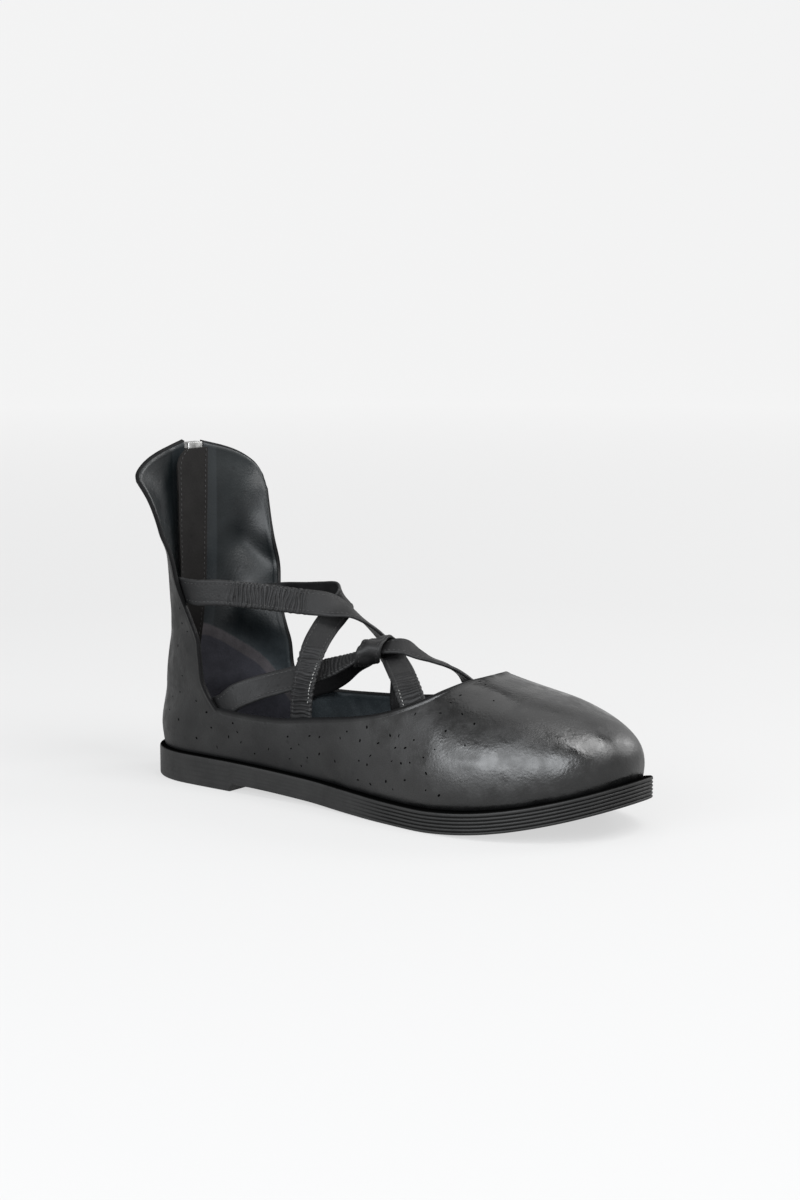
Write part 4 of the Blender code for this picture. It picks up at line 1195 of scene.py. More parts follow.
# %% Helpers for Geometry Nodes
def new_tree(name, sockets):
    """An empty geometry tree with named inputs, and its two ends."""
    tree = bpy.data.node_groups.new(name, "GeometryNodeTree")
    tree.interface.new_socket("Geometry", in_out="INPUT", socket_type="NodeSocketGeometry")
    for label, kind in sockets.items():
        tree.interface.new_socket(label, in_out="INPUT", socket_type=kind)
    tree.interface.new_socket("Geometry", in_out="OUTPUT", socket_type="NodeSocketGeometry")
    start = tree.nodes.new("NodeGroupInput").outputs
    end = tree.nodes.new("NodeGroupOutput").inputs["Geometry"]
    return tree, start, end


def close_tree(tree, instances, material, end):
    """Instances become a plain mesh with its material, because the export drops instances."""
    real = add(tree, "GeometryNodeRealizeInstances", {"Geometry": instances})
    smooth = add(tree, "GeometryNodeSetShadeSmooth", {"Geometry": real.outputs["Geometry"]})
    finished = add(tree, "GeometryNodeSetMaterial",
                   {"Geometry": smooth.outputs["Geometry"], "Material": material})
    tree.links.new(finished.outputs["Geometry"], end)


def steps_along(tree, edges, pitch):
    """Points at even steps along lines of edges."""
    line = add(tree, "GeometryNodeMeshToCurve", {"Mesh": edges}).outputs["Curve"]
    return add(tree, "GeometryNodeResampleCurve", {"Curve": line, "Length": pitch},
               mode="LENGTH").outputs["Curve"]


def grow(name, mesh, tree, values):
    """Runs a tree on a mesh and keeps what it makes as a plain piece."""
    base = new_piece(name, mesh, [])
    modifier = base.modifiers.new(tree.name, "NODES")
    modifier.node_group = tree
    for item in tree.interface.items_tree:
        if item.in_out == "INPUT" and item.name in values:
            modifier[item.identifier] = values[item.name]
    return apply_modifiers(base)


# %% Scatter the pricks
MATERIAL = "NodeSocketMaterial"
PRICK_APART = 4.4
PRICK_DENSITY = 30000.0   # for each square metre, before those that are too close are left out
PRICK_RADIUS = 0.62
PRICK_LIFT = 0.05
PRICK_SEED = 11
PRICK_SMALLEST = (0.7, 0.35, 1.0)     # long and narrow ovals, as shares of the radius
PRICK_LARGEST = (1.35, 0.8, 1.0)
FULL_TURN = (0.0, 0.0, 2 * math.pi)

prick_tree, t_in, t_end = new_tree(
    "pin_pricks",
    {"Apart": FLOAT, "Density": FLOAT, "Radius": FLOAT, "Lift": FLOAT, "Seed": "NodeSocketInt",
     "Hole_Shade": MATERIAL})
weight = add(prick_tree, "GeometryNodeInputNamedAttribute", {"Name": "prickly"}, data_type="FLOAT")
spots = add(prick_tree, "GeometryNodeDistributePointsOnFaces",
            {"Mesh": t_in["Geometry"], "Distance Min": t_in["Apart"], "Density Max": t_in["Density"],
             "Density Factor": weight.outputs["Attribute"], "Seed": t_in["Seed"]},
            distribute_method="POISSON")
raised_by = add(prick_tree, "ShaderNodeVectorMath",
                {0: spots.outputs["Normal"], "Scale": t_in["Lift"]}, operation="SCALE")
lifted = add(prick_tree, "GeometryNodeSetPosition",
             {"Geometry": spots.outputs["Points"], "Offset": raised_by.outputs[0]})
oval = add(prick_tree, "GeometryNodeMeshCircle", {"Vertices": 9, "Radius": t_in["Radius"]},
           fill_type="TRIANGLE_FAN")
any_turn, any_size = (
    add(prick_tree, "FunctionNodeRandomValue", {0: least, 1: most, "Seed": t_in["Seed"]},
        data_type="FLOAT_VECTOR").outputs[0]
    for least, most in (((0.0, 0.0, 0.0), FULL_TURN), (PRICK_SMALLEST, PRICK_LARGEST)))
turned = add(prick_tree, "FunctionNodeRotateRotation",
             {"Rotation": spots.outputs["Rotation"], "Rotate By": any_turn}, rotation_space="LOCAL")
pricks_on = add(prick_tree, "GeometryNodeInstanceOnPoints",
                {"Points": lifted.outputs["Geometry"], "Instance": oval.outputs["Mesh"],
                 "Rotation": turned.outputs["Rotation"], "Scale": any_size})
close_tree(prick_tree, pricks_on.outputs["Instances"], t_in["Hole_Shade"], t_end)
pricks = grow("pin_pricks", shell_mesh.copy(), prick_tree,
              {"Apart": PRICK_APART * MM, "Density": PRICK_DENSITY, "Radius": PRICK_RADIUS * MM,
               "Lift": PRICK_LIFT * MM, "Seed": PRICK_SEED, "Hole_Shade": prick_hole_shade})
print("pin-prick triangles:", triangles(pricks))

# %% [markdown]
# ## Thickness, lining and heel grip
#
# Solidify gives the shell its wall and puts the lining on the inner faces. Inside the heel a suede
# grip is sewn over the lining, with a curved upper seam. It is raised a little from the lining here,
# and its two tones come from the distance below that seam, which the points carry. Further forward
# on the inner side, the end of the lining's heel piece shows as a low ridge.

# %% Lining material with the grip and the facing of the zip
GRIP_BAND = 4.6       # width of the paler band under the seam
GRIP_SOFT = 0.5       # its edges are this soft
FACING_WIDE = 8.5     # leather strip beside the zip
FACING_SOFT = 0.6
FACING_SHARE = 0.4
FACING_TONE = (0.016, 0.019, 0.021)
LOW_LINING = 0.06     # the lining is paler below this height, in metres
LOW_SOFT = 0.012
LOW_TONES = (0.012, 0.015, 0.017), (0.024, 0.029, 0.032)
BAND_TONES = (0.026, 0.024, 0.026), (0.044, 0.040, 0.043)
PAD_TONES = (0.014, 0.014, 0.018), (0.024, 0.024, 0.030)
NAP_CLOUDS = 60.0
NAP_ROUGH = 0.92

lining_tree = lining_leather.node_tree
lining_shader = lining_tree.nodes["Principled BSDF"]


def soft_step(value, at, wide):
    """0 below a value of the lining's tree, 1 above it."""
    made = add(lining_tree, "ShaderNodeMapRange",
               {"Value": value, "From Min": at - wide, "From Max": at + wide},
               interpolation_type="SMOOTHSTEP")
    return made.outputs[0]


def lining_mix(share, first, second):
    """A blend of two colours in the lining's tree."""
    return mix_colour(lining_tree, share, first, second)


colour = lining_shader.inputs["Base Color"].links[0].from_socket
plain_gloss = lining_shader.inputs["Roughness"].links[0].from_socket
lining_vector = add(lining_tree, "ShaderNodeTexCoord").outputs["Object"]
nap = use_group(lining_tree, polish_group, {"Vector": lining_vector, "Size": NAP_CLOUDS})["Value"]
below_seam = attribute(lining_tree, "grip_depth")
in_band = soft_step(below_seam, 0.0, GRIP_SOFT)
under_band = soft_step(below_seam, GRIP_BAND, GRIP_SOFT)
off_slot = soft_step(attribute(lining_tree, "slot_away"), FACING_WIDE, FACING_SOFT)
by_slot = math_node(lining_tree, "SUBTRACT", 1.0, off_slot)
facing = math_node(lining_tree, "MULTIPLY", by_slot, FACING_SHARE)
lining_height = add(lining_tree, "ShaderNodeSeparateXYZ", {"Vector": lining_vector}).outputs["Z"]
low_down = math_node(lining_tree, "SUBTRACT", 1.0, soft_step(lining_height, LOW_LINING, LOW_SOFT))
colour = lining_mix(facing, colour, FACING_TONE)
for share, tones in ((low_down, LOW_TONES), (in_band, BAND_TONES), (under_band, PAD_TONES)):
    colour = lining_mix(share, colour, lining_mix(nap, *tones))
rough = add(lining_tree, "ShaderNodeMapRange",
            {"Value": in_band, "To Min": plain_gloss, "To Max": NAP_ROUGH})
fill(lining_tree, lining_shader, {"Base Color": colour, "Roughness": rough.outputs[0]})
print("lining nodes:", len(lining_tree.nodes))

# %% Wall of the upper
GRIP_SEAM = table(
    "along height",
    (0, 69.5),
    (11, 68.0),
    (15, 65.6),
    (24, 59.3),
    (33, 54.0),
    (41, 47.5),
    (50, 39.5),
    (57, 32.0),
    (64, 20.0),
)
GRIP_RAISED = 0.5
GRIP_STEP = 1.2       # width of the slope at its seam
GRIP_END = 66.0       # no grip in front of this place
NO_GRIP = -20.0       # stored where there is none
SEAM_SLOPE = 0.78     # a height below the slanting seam is this much of a distance from it
LINING_SEAM = np.array([
    (74.0, 25.2, 41.5),
    (85.5, 25.0, 38.6),
    (89.6, 24.6, 32.0),
    (91.0, 24.4, 22.0),
])
SEAM_WIDE = 1.2
SEAM_RAISED = 0.7
RIM_ANGLE = 60        # edges of the wall that turn by more degrees than this are rounded
RIM_ROUND = 0.5
RIM_INSIDE = 0.6      # the paint reaches this far over the rim to the lining
RIM_THIN = 0.8        # and is this strong there

upper = new_piece("leather_upper", shell_mesh, [upper_leather, lining_leather])
skin = upper.modifiers.new("wall", "SOLIDIFY")
skin.thickness = WALL * MM
skin.offset = -1
skin.use_even_offset = True
skin.material_offset = 1
skin.material_offset_rim = 0
outer_count = len(shell_mesh.vertices)
apply_modifiers(upper)
both_faces = np.empty(len(upper.data.vertices) * 3)
upper.data.vertices.foreach_get("co", both_faces)
both_faces = (both_faces.reshape(-1, 3) - SHIFT) / MM
inner_face = both_faces[outer_count:]
outer_face = both_faces[:outer_count]
inwards = (inner_face - outer_face) / np.linalg.norm(inner_face - outer_face, axis=1)[:, None]
seam_height = np.array([read(GRIP_SEAM, "height", x) for x in inner_face[:, 0]])
grip_depth = (seam_height - inner_face[:, 2]) * SEAM_SLOPE
grip_depth[inner_face[:, 0] > GRIP_END] = NO_GRIP
seam_steps = np.linspace(0, 1, 30)
seam_spots = [a + (b - a) * t for a, b in zip(LINING_SEAM, LINING_SEAM[1:]) for t in seam_steps]
seam_away = nearest(seam_spots, inner_face)
raise_by = GRIP_RAISED * ease((grip_depth + GRIP_STEP / 2) / GRIP_STEP)
raise_by = raise_by + SEAM_RAISED * np.exp(-(seam_away / SEAM_WIDE) ** 2)
both_faces[outer_count:] += inwards * raise_by[:, None]
upper.data.vertices.foreach_set("co", to_frame(both_faces).ravel())
store(upper.data, {
    "edge": np.concatenate([edge_paint_and_foot_shade, RIM_THIN * np.exp(-(edge_away / RIM_INSIDE) ** 2)]),
    "brushed": np.concatenate([brushed, np.zeros(outer_count)]),
    "grip_depth": np.concatenate([np.full(outer_count, NO_GRIP), grip_depth]),
})
round_edges(upper, RIM_ROUND, RIM_ANGLE)
print("upper triangles:", triangles(upper))

# %% [markdown]
# ## Straps and knot
#
# Four flat leather straps cross the instep. Stretches of them are gathered on elastic, which shows as
# close cross ridges. Each strap follows a route of a few rows: a place, the direction its face looks
# to, and its width. The last strap goes under the core strap, once round it, and under it again,
# which makes the knot.


# %% Rows of a route
STRAP_WIDTH = 12.0
STRAP_THICK = 1.6
SEWN_CLEAR = 1.2
STRAP_DEPTH = WALL + SEWN_CLEAR + STRAP_THICK / 2
ROUTE = "x y z faces tips width"


def outward_at(surface, side, here, step_along, step_up):
    """Direction that a surface of the upper looks to."""
    along = surface(side, here[0] + step_along, here[1]) - surface(side, here[0] - step_along, here[1])
    rise = surface(side, here[0], here[1] + step_up) - surface(side, here[0], here[1] - step_up)
    return unit(np.cross(rise, along) * side)


def sewn_rows(side, spots):
    """Rows sewn to the inside of the quarter, from (along, height) pairs."""
    rows = []
    for x, height in spots:
        share = (height - feather(side, x)[2]) / crown_over(side, x)
        outward = outward_at(wall, side, (x, share), 1.0, 0.01)
        rows.append((wall(side, x, share) - outward * STRAP_DEPTH, outward, STRAP_WIDTH))
    return rows


def shaft_rows(side, spots):
    """Rows sewn to the inside of the shaft, from (share round, height) pairs."""
    rows = []
    for share, height in spots:
        outward = outward_at(shaft_level, side, (share, height), 0.01, 1.0)
        rows.append((shaft_level(side, share, height) - outward * STRAP_DEPTH, outward, STRAP_WIDTH))
    return rows


def free_rows(route):
    """Route rows as point, outward direction and width. Faces is the compass direction of the
    strap's outer face, from +X towards +Y, and tips is how far it tips up, both in degrees."""
    rows = []
    for x, y, z, faces, tips, width in zip(*route.values()):
        turn = math.radians(faces)
        tip = math.radians(tips)
        outward = (math.cos(tip) * math.cos(turn), math.cos(tip) * math.sin(turn), math.sin(tip))
        rows.append((np.array([x, y, z]), np.array(outward), width))
    return rows


def turned_over(rows):
    """The same rows with the strap's other face outwards."""
    return [(point, -outward, width) for point, outward, width in rows]


# %% Routes
ANKLE_OUTER = table(
    ROUTE,
    (43, -31.0, 90.2, -88, 0, 12),
    (55, -28.0, 90.8, -63, 3, 12),
    (70, -20.0, 89.6, -58, 8, 12),
    (86.3, -11.7, 87.8, -54, 18, 12),
    (98.0, -4.6, 86.4, -45, 32, 12),
    (105.9, 2.7, 82.6, 18, 58, 11.5),
    (110, 13.0, 74.4, 56, 52, 12),
    (114, 19.5, 65.5, 66, 28, 12),
    (117.5, 23.0, 55.0, 80, 12, 12),
)
ANKLE_INNER = table(
    ROUTE,
    (50, 27.8, 82.9, 72, 0, 12),
    (65, 21.5, 84.9, 62, 0, 12),
    (80, 15.2, 87.2, 60, 2, 12),
    (92, 10.4, 88.8, 50, 8, 12),
    (98.0, 7.6, 87.0, 5, 26, 12),
    (97.2, 1.3, 81.0, -35, 38, 12),
    (98.0, -7.0, 76.2, -50, 40, 12),
    (99, -15.5, 69.6, -62, 36, 12),
    (100.5, -23.0, 60.5, -76, 22, 12),
    (100.8, -27.5, 50.0, -86, 8, 12),
)
CORE = table(
    ROUTE,
    (62, -26.5, 43.6, -86, 10, 12),
    (74, -22.8, 48.8, -82, 24, 12),
    (90, -17.3, 54.0, -80, 34, 12),
    (103, -11.6, 58.8, -76, 44, 11),
    (111.5, -8.4, 62.4, -72, 56, 9),
    (118, -6.4, 65.6, -66, 66, 7),
    (124.5, -4.4, 68.2, -62, 66, 7),
    (131, -2.4, 70.2, -60, 56, 8.5),
    (136.5, 1.0, 70.2, -52, 56, 9.6),
    (141.5, 5.0, 66.8, -20, 72, 9.5),
    (146.5, 8.8, 64.0, 44, 64, 9),
    (152, 13.6, 61.2, 50, 52, 11),
    (157, 18.4, 56.4, 60, 42, 12),
)
WRAP_REAR = table(
    ROUTE,
    (68, 22.3, 42.8, 84, 4, 12),
    (78, 19.8, 46.0, 82, 10, 12),
    (88, 15.8, 50.6, 78, 34, 12),
    (98, 10.6, 56.4, 66, 54, 12),
    (108, 5.0, 59.8, 46, 70, 11.5),
)
WRAP_FRONT = table(
    ROUTE,
    (143.0, -12.0, 63.2, -58, 56, 12),
    (149.5, -18.2, 61.4, -58, 50, 12),
    (156, -23.8, 58.2, -60, 46, 12),
)
KNOT_MIDDLE = (125.2, -3.8, 68.0)
KNOT_ALONG = (16.0, 7.0, 3.6)
KNOT_WIDE = 6.4       # half axes of the winding
KNOT_HIGH = 4.9
KNOT_BAND = 11.4      # width of the strap there
KNOT_PITCH = 12.8     # how far one turn moves along
KNOT_FROM = -70.0     # angles where it starts and ends
KNOT_TO = -456.0
KNOT_ROWS = 12


def knot_rows():
    """Rows of the winding: from under the core up its outer side, over it and down its inner side."""
    along = unit(KNOT_ALONG)
    sideways = unit(np.cross((0.0, 0.0, 1.0), along))
    up_across = np.cross(along, sideways)
    rows = []
    for degrees in np.linspace(KNOT_FROM, KNOT_TO, KNOT_ROWS):
        turn = math.radians(degrees)
        shift = ((KNOT_FROM + KNOT_TO) / 2 - degrees) / 360 * KNOT_PITCH
        point = (np.array(KNOT_MIDDLE) + along * shift + sideways * KNOT_WIDE * math.cos(turn)
                 + up_across * KNOT_HIGH * math.sin(turn))
        outward = sideways * math.cos(turn) / KNOT_WIDE + up_across * math.sin(turn) / KNOT_HIGH
        rows.append((point, unit(outward), KNOT_BAND))
    return rows


# %% Gathered leather band
STRAP_STEP = 0.42
STRAP_POINTS = 17     # across one face
ROLLED_EDGE = 0.16    # extra thickness of the turned-in edges
ROLLED_AT = 0.86      # where it is thickest, as a share of half the width
ROLLED_WIDE = 0.1
SQUARENESS = 10       # of the edges, and more is squarer
SEAM_AT = 0.68        # the stitches lie here, in a groove
SEAM_DEEP = 0.12
SEAM_NARROW = 0.06
EDGE_WORN = 0.06      # width of the worn edge, as such a share
GATHER_FADE = 5.0     # a gathered stretch starts and ends over this length
RIDGE_PITCH = 1.9     # of the gathers
RIDGE_HIGH = 0.5
RIDGE_LOWER = 0.35    # the ridges are this much lower at the strap's edges
RIDGE_WEAR_AND_SHEEN = 0.5    # how much paler the tops of the ridges are: partly wear, partly painted highlight
RIDGE_STRAY = 1.5     # how far a ridge strays from its place
STRAY_ALONG = 0.22    # how fast that changes, along and across the strap
STRAY_ACROSS = 0.9
PUCKER = 0.02         # the edges draw in and out by this share between gathers
PUCKER_PITCH = 1.7 * RIDGE_PITCH
CRUMPLE_HIGH = 1.7    # of the folds in the knot's winding
CRUMPLE_SIZE = 5.0
BACK_RIPPLE = 0.6     # share of the ridges that shows on the strap's back
FRONT, BACK = 1, -1   # the two faces of a strap


def between(rows, steps):
    """Smooth samples through route rows, by a curve that passes through each of them."""
    packed = np.array([np.concatenate([p, n, [w]]) for p, n, w in rows])
    padded = np.vstack([2 * packed[0] - packed[1], packed, 2 * packed[-1] - packed[-2]])
    samples = []
    for i in range(len(rows) - 1):
        a, b, c, d = padded[i:i + 4]
        for t in np.linspace(0, 1, steps, endpoint=False):
            samples.append(0.5 * (2 * b + (c - a) * t + (2 * a - 5 * b + 4 * c - d) * t ** 2
                                  + (3 * b - a - 3 * c + d) * t ** 3))
    samples.append(packed[-1])
    return np.array(samples)


def walk(rows):
    """Even steps along a route: the length so far, and point, outward direction and width there."""
    samples = between(rows, 24)
    lengths = lengths_along(samples[:, :3])
    even = np.arange(0, lengths[-1], STRAP_STEP)
    return even, np.array([np.interp(even, lengths, samples[:, k]) for k in range(7)]).T


def gather_at(length, stretches):
    """How strongly the leather is gathered at a length along the strap."""
    return sum(strength * ease((length - start) / GATHER_FADE) * ease((end - length) / GATHER_FADE)
               for start, end, strength in stretches)


strap_edges = {}


def make_strap(name, rows, stretches, crumpled=()):
    """A band of leather along a route, gathered and crumpled on the given stretches. The lines for
    its stitches are kept under its name, for both faces and both sides."""
    lengths, samples = walk(rows)
    points = samples[:, :3]
    runs = np.gradient(points, axis=0)
    spread = np.sin(np.linspace(-1, 1, STRAP_POINTS) * math.pi / 2)
    verts, edges = [], []
    lines = {(look, sign): [] for look in (FRONT, BACK) for sign in (1, -1)}
    for length, point, run, outward, width in zip(lengths, points, runs, samples[:, 3:6], samples[:, 6]):
        run = unit(run)
        face = unit(outward - run * np.dot(outward, run))
        wide = np.cross(run, face)
        gathered = gather_at(length, stretches)
        crushed = CRUMPLE_HIGH * gather_at(length, crumpled)
        draw_in = gathered * (1 + math.sin(2 * math.pi * length / PUCKER_PITCH))
        half = width / 2 * (1 - PUCKER * draw_in)

        def ripple(u):
            # The length of the name picks the pattern.
            spot = Vector((length * STRAY_ALONG, u * STRAY_ACROSS, len(name)))
            stray = noise.noise(spot) * RIDGE_STRAY
            wave = abs(math.sin(math.pi * (length + stray) / RIDGE_PITCH)) * 2 - 1
            folds = noise.noise(Vector((length / CRUMPLE_SIZE, u * half / CRUMPLE_SIZE, 3.0)))
            return RIDGE_HIGH * gathered * wave * (1 - RIDGE_LOWER * u * u) + crushed * folds

        def skin(u):
            round_off = math.sqrt(max(0.0, 1 - abs(u) ** SQUARENESS))
            rolled = ROLLED_EDGE * math.exp(-((abs(u) - ROLLED_AT) / ROLLED_WIDE) ** 2)
            seam = SEAM_DEEP * math.exp(-((abs(u) - SEAM_AT) / SEAM_NARROW) ** 2)
            return (STRAP_THICK / 2 + rolled - seam) * round_off

        for u in spread:
            verts.append(point + wide * u * half + face * (skin(u) + ripple(u)))
            # The crests of the gathers are paler, partly from wear and partly as a painted highlight.
            wear_and_sheen = RIDGE_WEAR_AND_SHEEN * gathered * max(0.0, ripple(u)) / RIDGE_HIGH
            edges.append(math.exp(-((1 - abs(u)) / EDGE_WORN) ** 2) + wear_and_sheen)
        for u in spread[-2:0:-1]:
            verts.append(point + wide * u * half - face * (skin(u) - BACK_RIPPLE * ripple(u)))
            edges.append(math.exp(-((1 - abs(u)) / EDGE_WORN) ** 2))
        for (look, sign), line in lines.items():
            u = SEAM_AT * sign
            lift = skin(u) + (1.0 if look == FRONT else -BACK_RIPPLE) * ripple(u)
            line.append(point + wide * u * half + face * look * lift)
    ring = 2 * STRAP_POINTS - 2
    faces = [(a, d, c, b) for a, b, c, d in ring_quads(len(lengths), ring)]
    faces.append(tuple(range(ring)))
    faces.append(tuple((len(lengths) - 1) * ring + i for i in range(ring))[::-1])
    mesh = mesh_from(name, verts, faces, {"edge": np.clip(edges, 0, 1)})
    strap_edges[name] = (lengths, {key: np.array(line) for key, line in lines.items()})
    band = new_piece(name, mesh, [strap_leather])
    print(name, "is", round(lengths[-1], 1), "mm long,", triangles(band), "triangles")
    return band


straps = {
    "strap_ankle_lateral": make_strap(
        "ankle_strap_outer",
        shaft_rows(OUTER, [(0.84, 89.2), (0.95, 89.6)]) + free_rows(ANKLE_OUTER)
        + sewn_rows(INNER, [(119, 41.5), (119.5, 34)]), [(28, 70, 1.0)]),
    "strap_ankle_medial": make_strap(
        "ankle_strap_inner",
        shaft_rows(INNER, [(0.84, 80.0), (0.95, 80.6)]) + free_rows(ANKLE_INNER)
        + sewn_rows(OUTER, [(100.8, 38), (100.5, 31)]), [(97, 134, 1.1)]),
    "strap_core": make_strap(
        "knot_core_strap",
        sewn_rows(OUTER, [(44, 33.5), (54, 38.4)]) + free_rows(CORE)
        + sewn_rows(INNER, [(161, 47.5), (163, 41)]), [(60, 83, 0.65)]),
    "strap_wrap": make_strap(
        "knot_wrap_strap",
        turned_over(sewn_rows(INNER, [(54, 38.0), (60, 39.4)]) + free_rows(WRAP_REAR)) + knot_rows()
        + turned_over(free_rows(WRAP_FRONT) + sewn_rows(OUTER, [(166, 49.5), (168.5, 42.5)])),
        [(139, 166, 1.2)], [(80, 116, 1.0)]),
}

# %% [markdown]
# ## Stitches
#
# A row of stitches follows a seam, so it is a curve with a short thread on each step. One tree makes
# them all: it turns edges into curves, cuts the curves into even steps, and lays a small spindle of
# thread along each. The rows differ only in their line, their pitch and their thread.

# %% Stitch tree
stitch_tree, t_in, t_end = new_tree(
    "stitches", {"Pitch": FLOAT, "Length": FLOAT, "Thickness": FLOAT, "Thread": MATERIAL})
stitch_steps = steps_along(stitch_tree, t_in["Geometry"], t_in["Pitch"])
spindle = add(stitch_tree, "GeometryNodeMeshUVSphere", {"Segments": 6, "Rings": 5, "Radius": 0.5})
tangent = add(stitch_tree, "GeometryNodeInputTangent")
laid = add(stitch_tree, "FunctionNodeAlignRotationToVector", {"Vector": tangent.outputs[0]}, axis="X")
shape = add(stitch_tree, "ShaderNodeCombineXYZ",
            {"X": t_in["Length"], "Y": t_in["Thickness"], "Z": t_in["Thickness"]})
threads = add(stitch_tree, "GeometryNodeInstanceOnPoints",
              {"Points": stitch_steps, "Instance": spindle.outputs["Mesh"],
               "Rotation": laid.outputs["Rotation"], "Scale": shape.outputs[0]})
close_tree(stitch_tree, threads.outputs["Instances"], t_in["Thread"], t_end)


def seam_lines(name, lines):
    """A mesh of edges only, one open line for each row of stitches."""
    points = np.concatenate(lines)
    edges = []
    first = 0
    for line in lines:
        edges += [(first + i, first + i + 1) for i in range(len(line) - 1)]
        first += len(line)
    mesh = bpy.data.meshes.new(name)
    mesh.from_pydata([tuple(p) for p in to_frame(points)], edges, [])
    return mesh


def sew(name, lines, pitch, length, thickness, thread_material):
    """One piece with all stitches of some rows."""
    sizes = {"Pitch": pitch * MM, "Length": length * MM, "Thickness": thickness * MM}
    piece = grow(name, seam_lines(name, lines), stitch_tree, {**sizes, "Thread": thread_material})
    print(name, "triangles:", triangles(piece))
    return piece


# %% Rows along the straps and the zip
# Each row has its strap, its face, its side, and the lengths where it starts and ends.
PALE_ROWS = (
    ("ankle_strap_inner", FRONT, -1, 107, 125),
    ("knot_wrap_strap", BACK, -1, 153, 165),
)
DARK_ROWS = (
    ("ankle_strap_outer", FRONT, 1, 8, 140),
    ("ankle_strap_outer", FRONT, -1, 8, 140),
    ("ankle_strap_inner", FRONT, 1, 8, 132),
    ("ankle_strap_inner", FRONT, -1, 8, 105),
    ("knot_core_strap", FRONT, 1, 10, 148),
    ("knot_core_strap", FRONT, -1, 10, 148),
    ("knot_wrap_strap", FRONT, 1, 83, 113),
    ("knot_wrap_strap", FRONT, -1, 83, 113),
    ("knot_wrap_strap", BACK, 1, 121, 165),
    ("knot_wrap_strap", BACK, -1, 121, 151),
)
ZIP_SEAM = 2.2        # distance of the zip's stitches from the slot
ZIP_SEAM_START = 2.0  # over the lower end of the slot
ZIP_SEAM_TOP = 150.0
STITCH_LIFT = 0.05


def strap_line(name, face, sign, start, end):
    """The line for stitches on one face and side of a strap, between two lengths."""
    lengths, lines = strap_edges[name]
    chosen = (lengths >= start) & (lengths <= end)
    return lines[(face, sign)][chosen]


def shaft_seam(side, away, lift, heights):
    """An upright line on the shaft at a distance from the slot's edge."""
    points = []
    for height in heights:
        share = slot_share(height) + away / SHAFT_ARC
        outward = outward_at(shaft_level, side, (share, height), 0.01, 1.0)
        points.append(shaft_level(side, share, height) + outward * lift)
    return np.array(points)


pale_rows = [strap_line(*row) for row in PALE_ROWS]
dark_rows = [strap_line(*row) for row in DARK_ROWS]
zip_heights = np.linspace(SLOT_BOTTOM + ZIP_SEAM_START, ZIP_SEAM_TOP, 60)
dark_rows += [shaft_seam(side, ZIP_SEAM, STITCH_LIFT, zip_heights) for side in (OUTER, INNER)]
pale_stitches = sew("pale_strap_stitches", pale_rows, pitch=1.9, length=1.35, thickness=0.5,
                    thread_material=pale_thread)
dark_stitches = sew("dark_stitches", dark_rows, pitch=2.2, length=1.6, thickness=0.38,
                    thread_material=dark_thread)

# %% [markdown]
# ## Zip
#
# The back zip has two cloth tapes, a row of metal teeth on each, a slider and a pull tab, and a
# leather guard behind it that keeps the teeth off the ankle. The tapes stay the CAD solids with a
# woven finish. The teeth repeat along the tapes, so a tree sets them out, and the slider and the
# pull are the CAD solids again with rounded edges, since cast metal never has sharp ones.

# %% Teeth
CHAIN_TOP = 151.8     # height of the chain's upper end
CHAIN_DEPTH = 0.95    # its middle is this far in from the shaft's outer face
TOOTH_PITCH = 2.0
TOOTH_SIZE = (1.6, 3.1, 1.1)
TOOTH_ROUND = 0.35
TOOTH_SIDE = 0.75     # each row stands this far to its own side
FIRST_TOOTH = 0.8     # over the lower end of the slot
LAST_TOOTH = 0.6      # under the upper end of the chain

tooth_tree, t_in, t_end = new_tree(
    "zip_teeth", {"Pitch": FLOAT, "Tooth": "NodeSocketObject", "Metal": MATERIAL})
tooth_steps = steps_along(tooth_tree, t_in["Geometry"], t_in["Pitch"])
one_tooth = add(tooth_tree, "GeometryNodeObjectInfo", {"Object": t_in["Tooth"]})
teeth_on = add(tooth_tree, "GeometryNodeInstanceOnPoints",
               {"Points": tooth_steps, "Instance": one_tooth.outputs["Geometry"]})
close_tree(tooth_tree, teeth_on.outputs["Instances"], t_in["Metal"], t_end)

tooth_shape = bmesh.new()
bmesh.ops.create_cube(tooth_shape, size=1.0)
bmesh.ops.scale(tooth_shape, vec=[s * MM for s in TOOTH_SIZE], verts=tooth_shape.verts)
bmesh.ops.bevel(tooth_shape, geom=tooth_shape.edges, offset=TOOTH_ROUND * MM, segments=1, affect="EDGES")
bmesh.ops.rotate(tooth_shape, cent=(0, 0, 0), verts=tooth_shape.verts,
                 matrix=Matrix.Rotation(-math.radians(HEEL_SWING), 3, "Z"))
tooth_mesh = bpy.data.meshes.new("tooth")
tooth_shape.to_mesh(tooth_mesh)
tooth_shape.free()
tooth = bpy.data.objects.new("tooth", tooth_mesh)


def chain_line(side, start):
    """Middle line of one row of teeth."""
    points = []
    for height in np.arange(start, CHAIN_TOP - LAST_TOOTH, TOOTH_PITCH / 2):
        back_face = read(SHAFT, "back", height) + CHAIN_DEPTH
        points.append(swing_out((back_face, side * TOOTH_SIDE, height)))
    return np.array(points)


first_tooth = SLOT_BOTTOM + GAP + FIRST_TOOTH
chain = [chain_line(OUTER, first_tooth), chain_line(INNER, first_tooth + TOOTH_PITCH / 2)]
teeth = grow("zip_teeth", seam_lines("zip_teeth", chain), tooth_tree,
             {"Pitch": TOOTH_PITCH * MM, "Tooth": tooth, "Metal": zip_metal})
bpy.data.objects.remove(tooth)
print("teeth triangles:", triangles(teeth))

# %% Slider, pull and guard
CAST_ANGLE = 40       # edges that turn by more degrees than this are rounded
FLAT_ANGLE = 2        # faces that turn by less than this become one
SLIDER_ROUND = 0.28
PULL_ROUND = 0.25


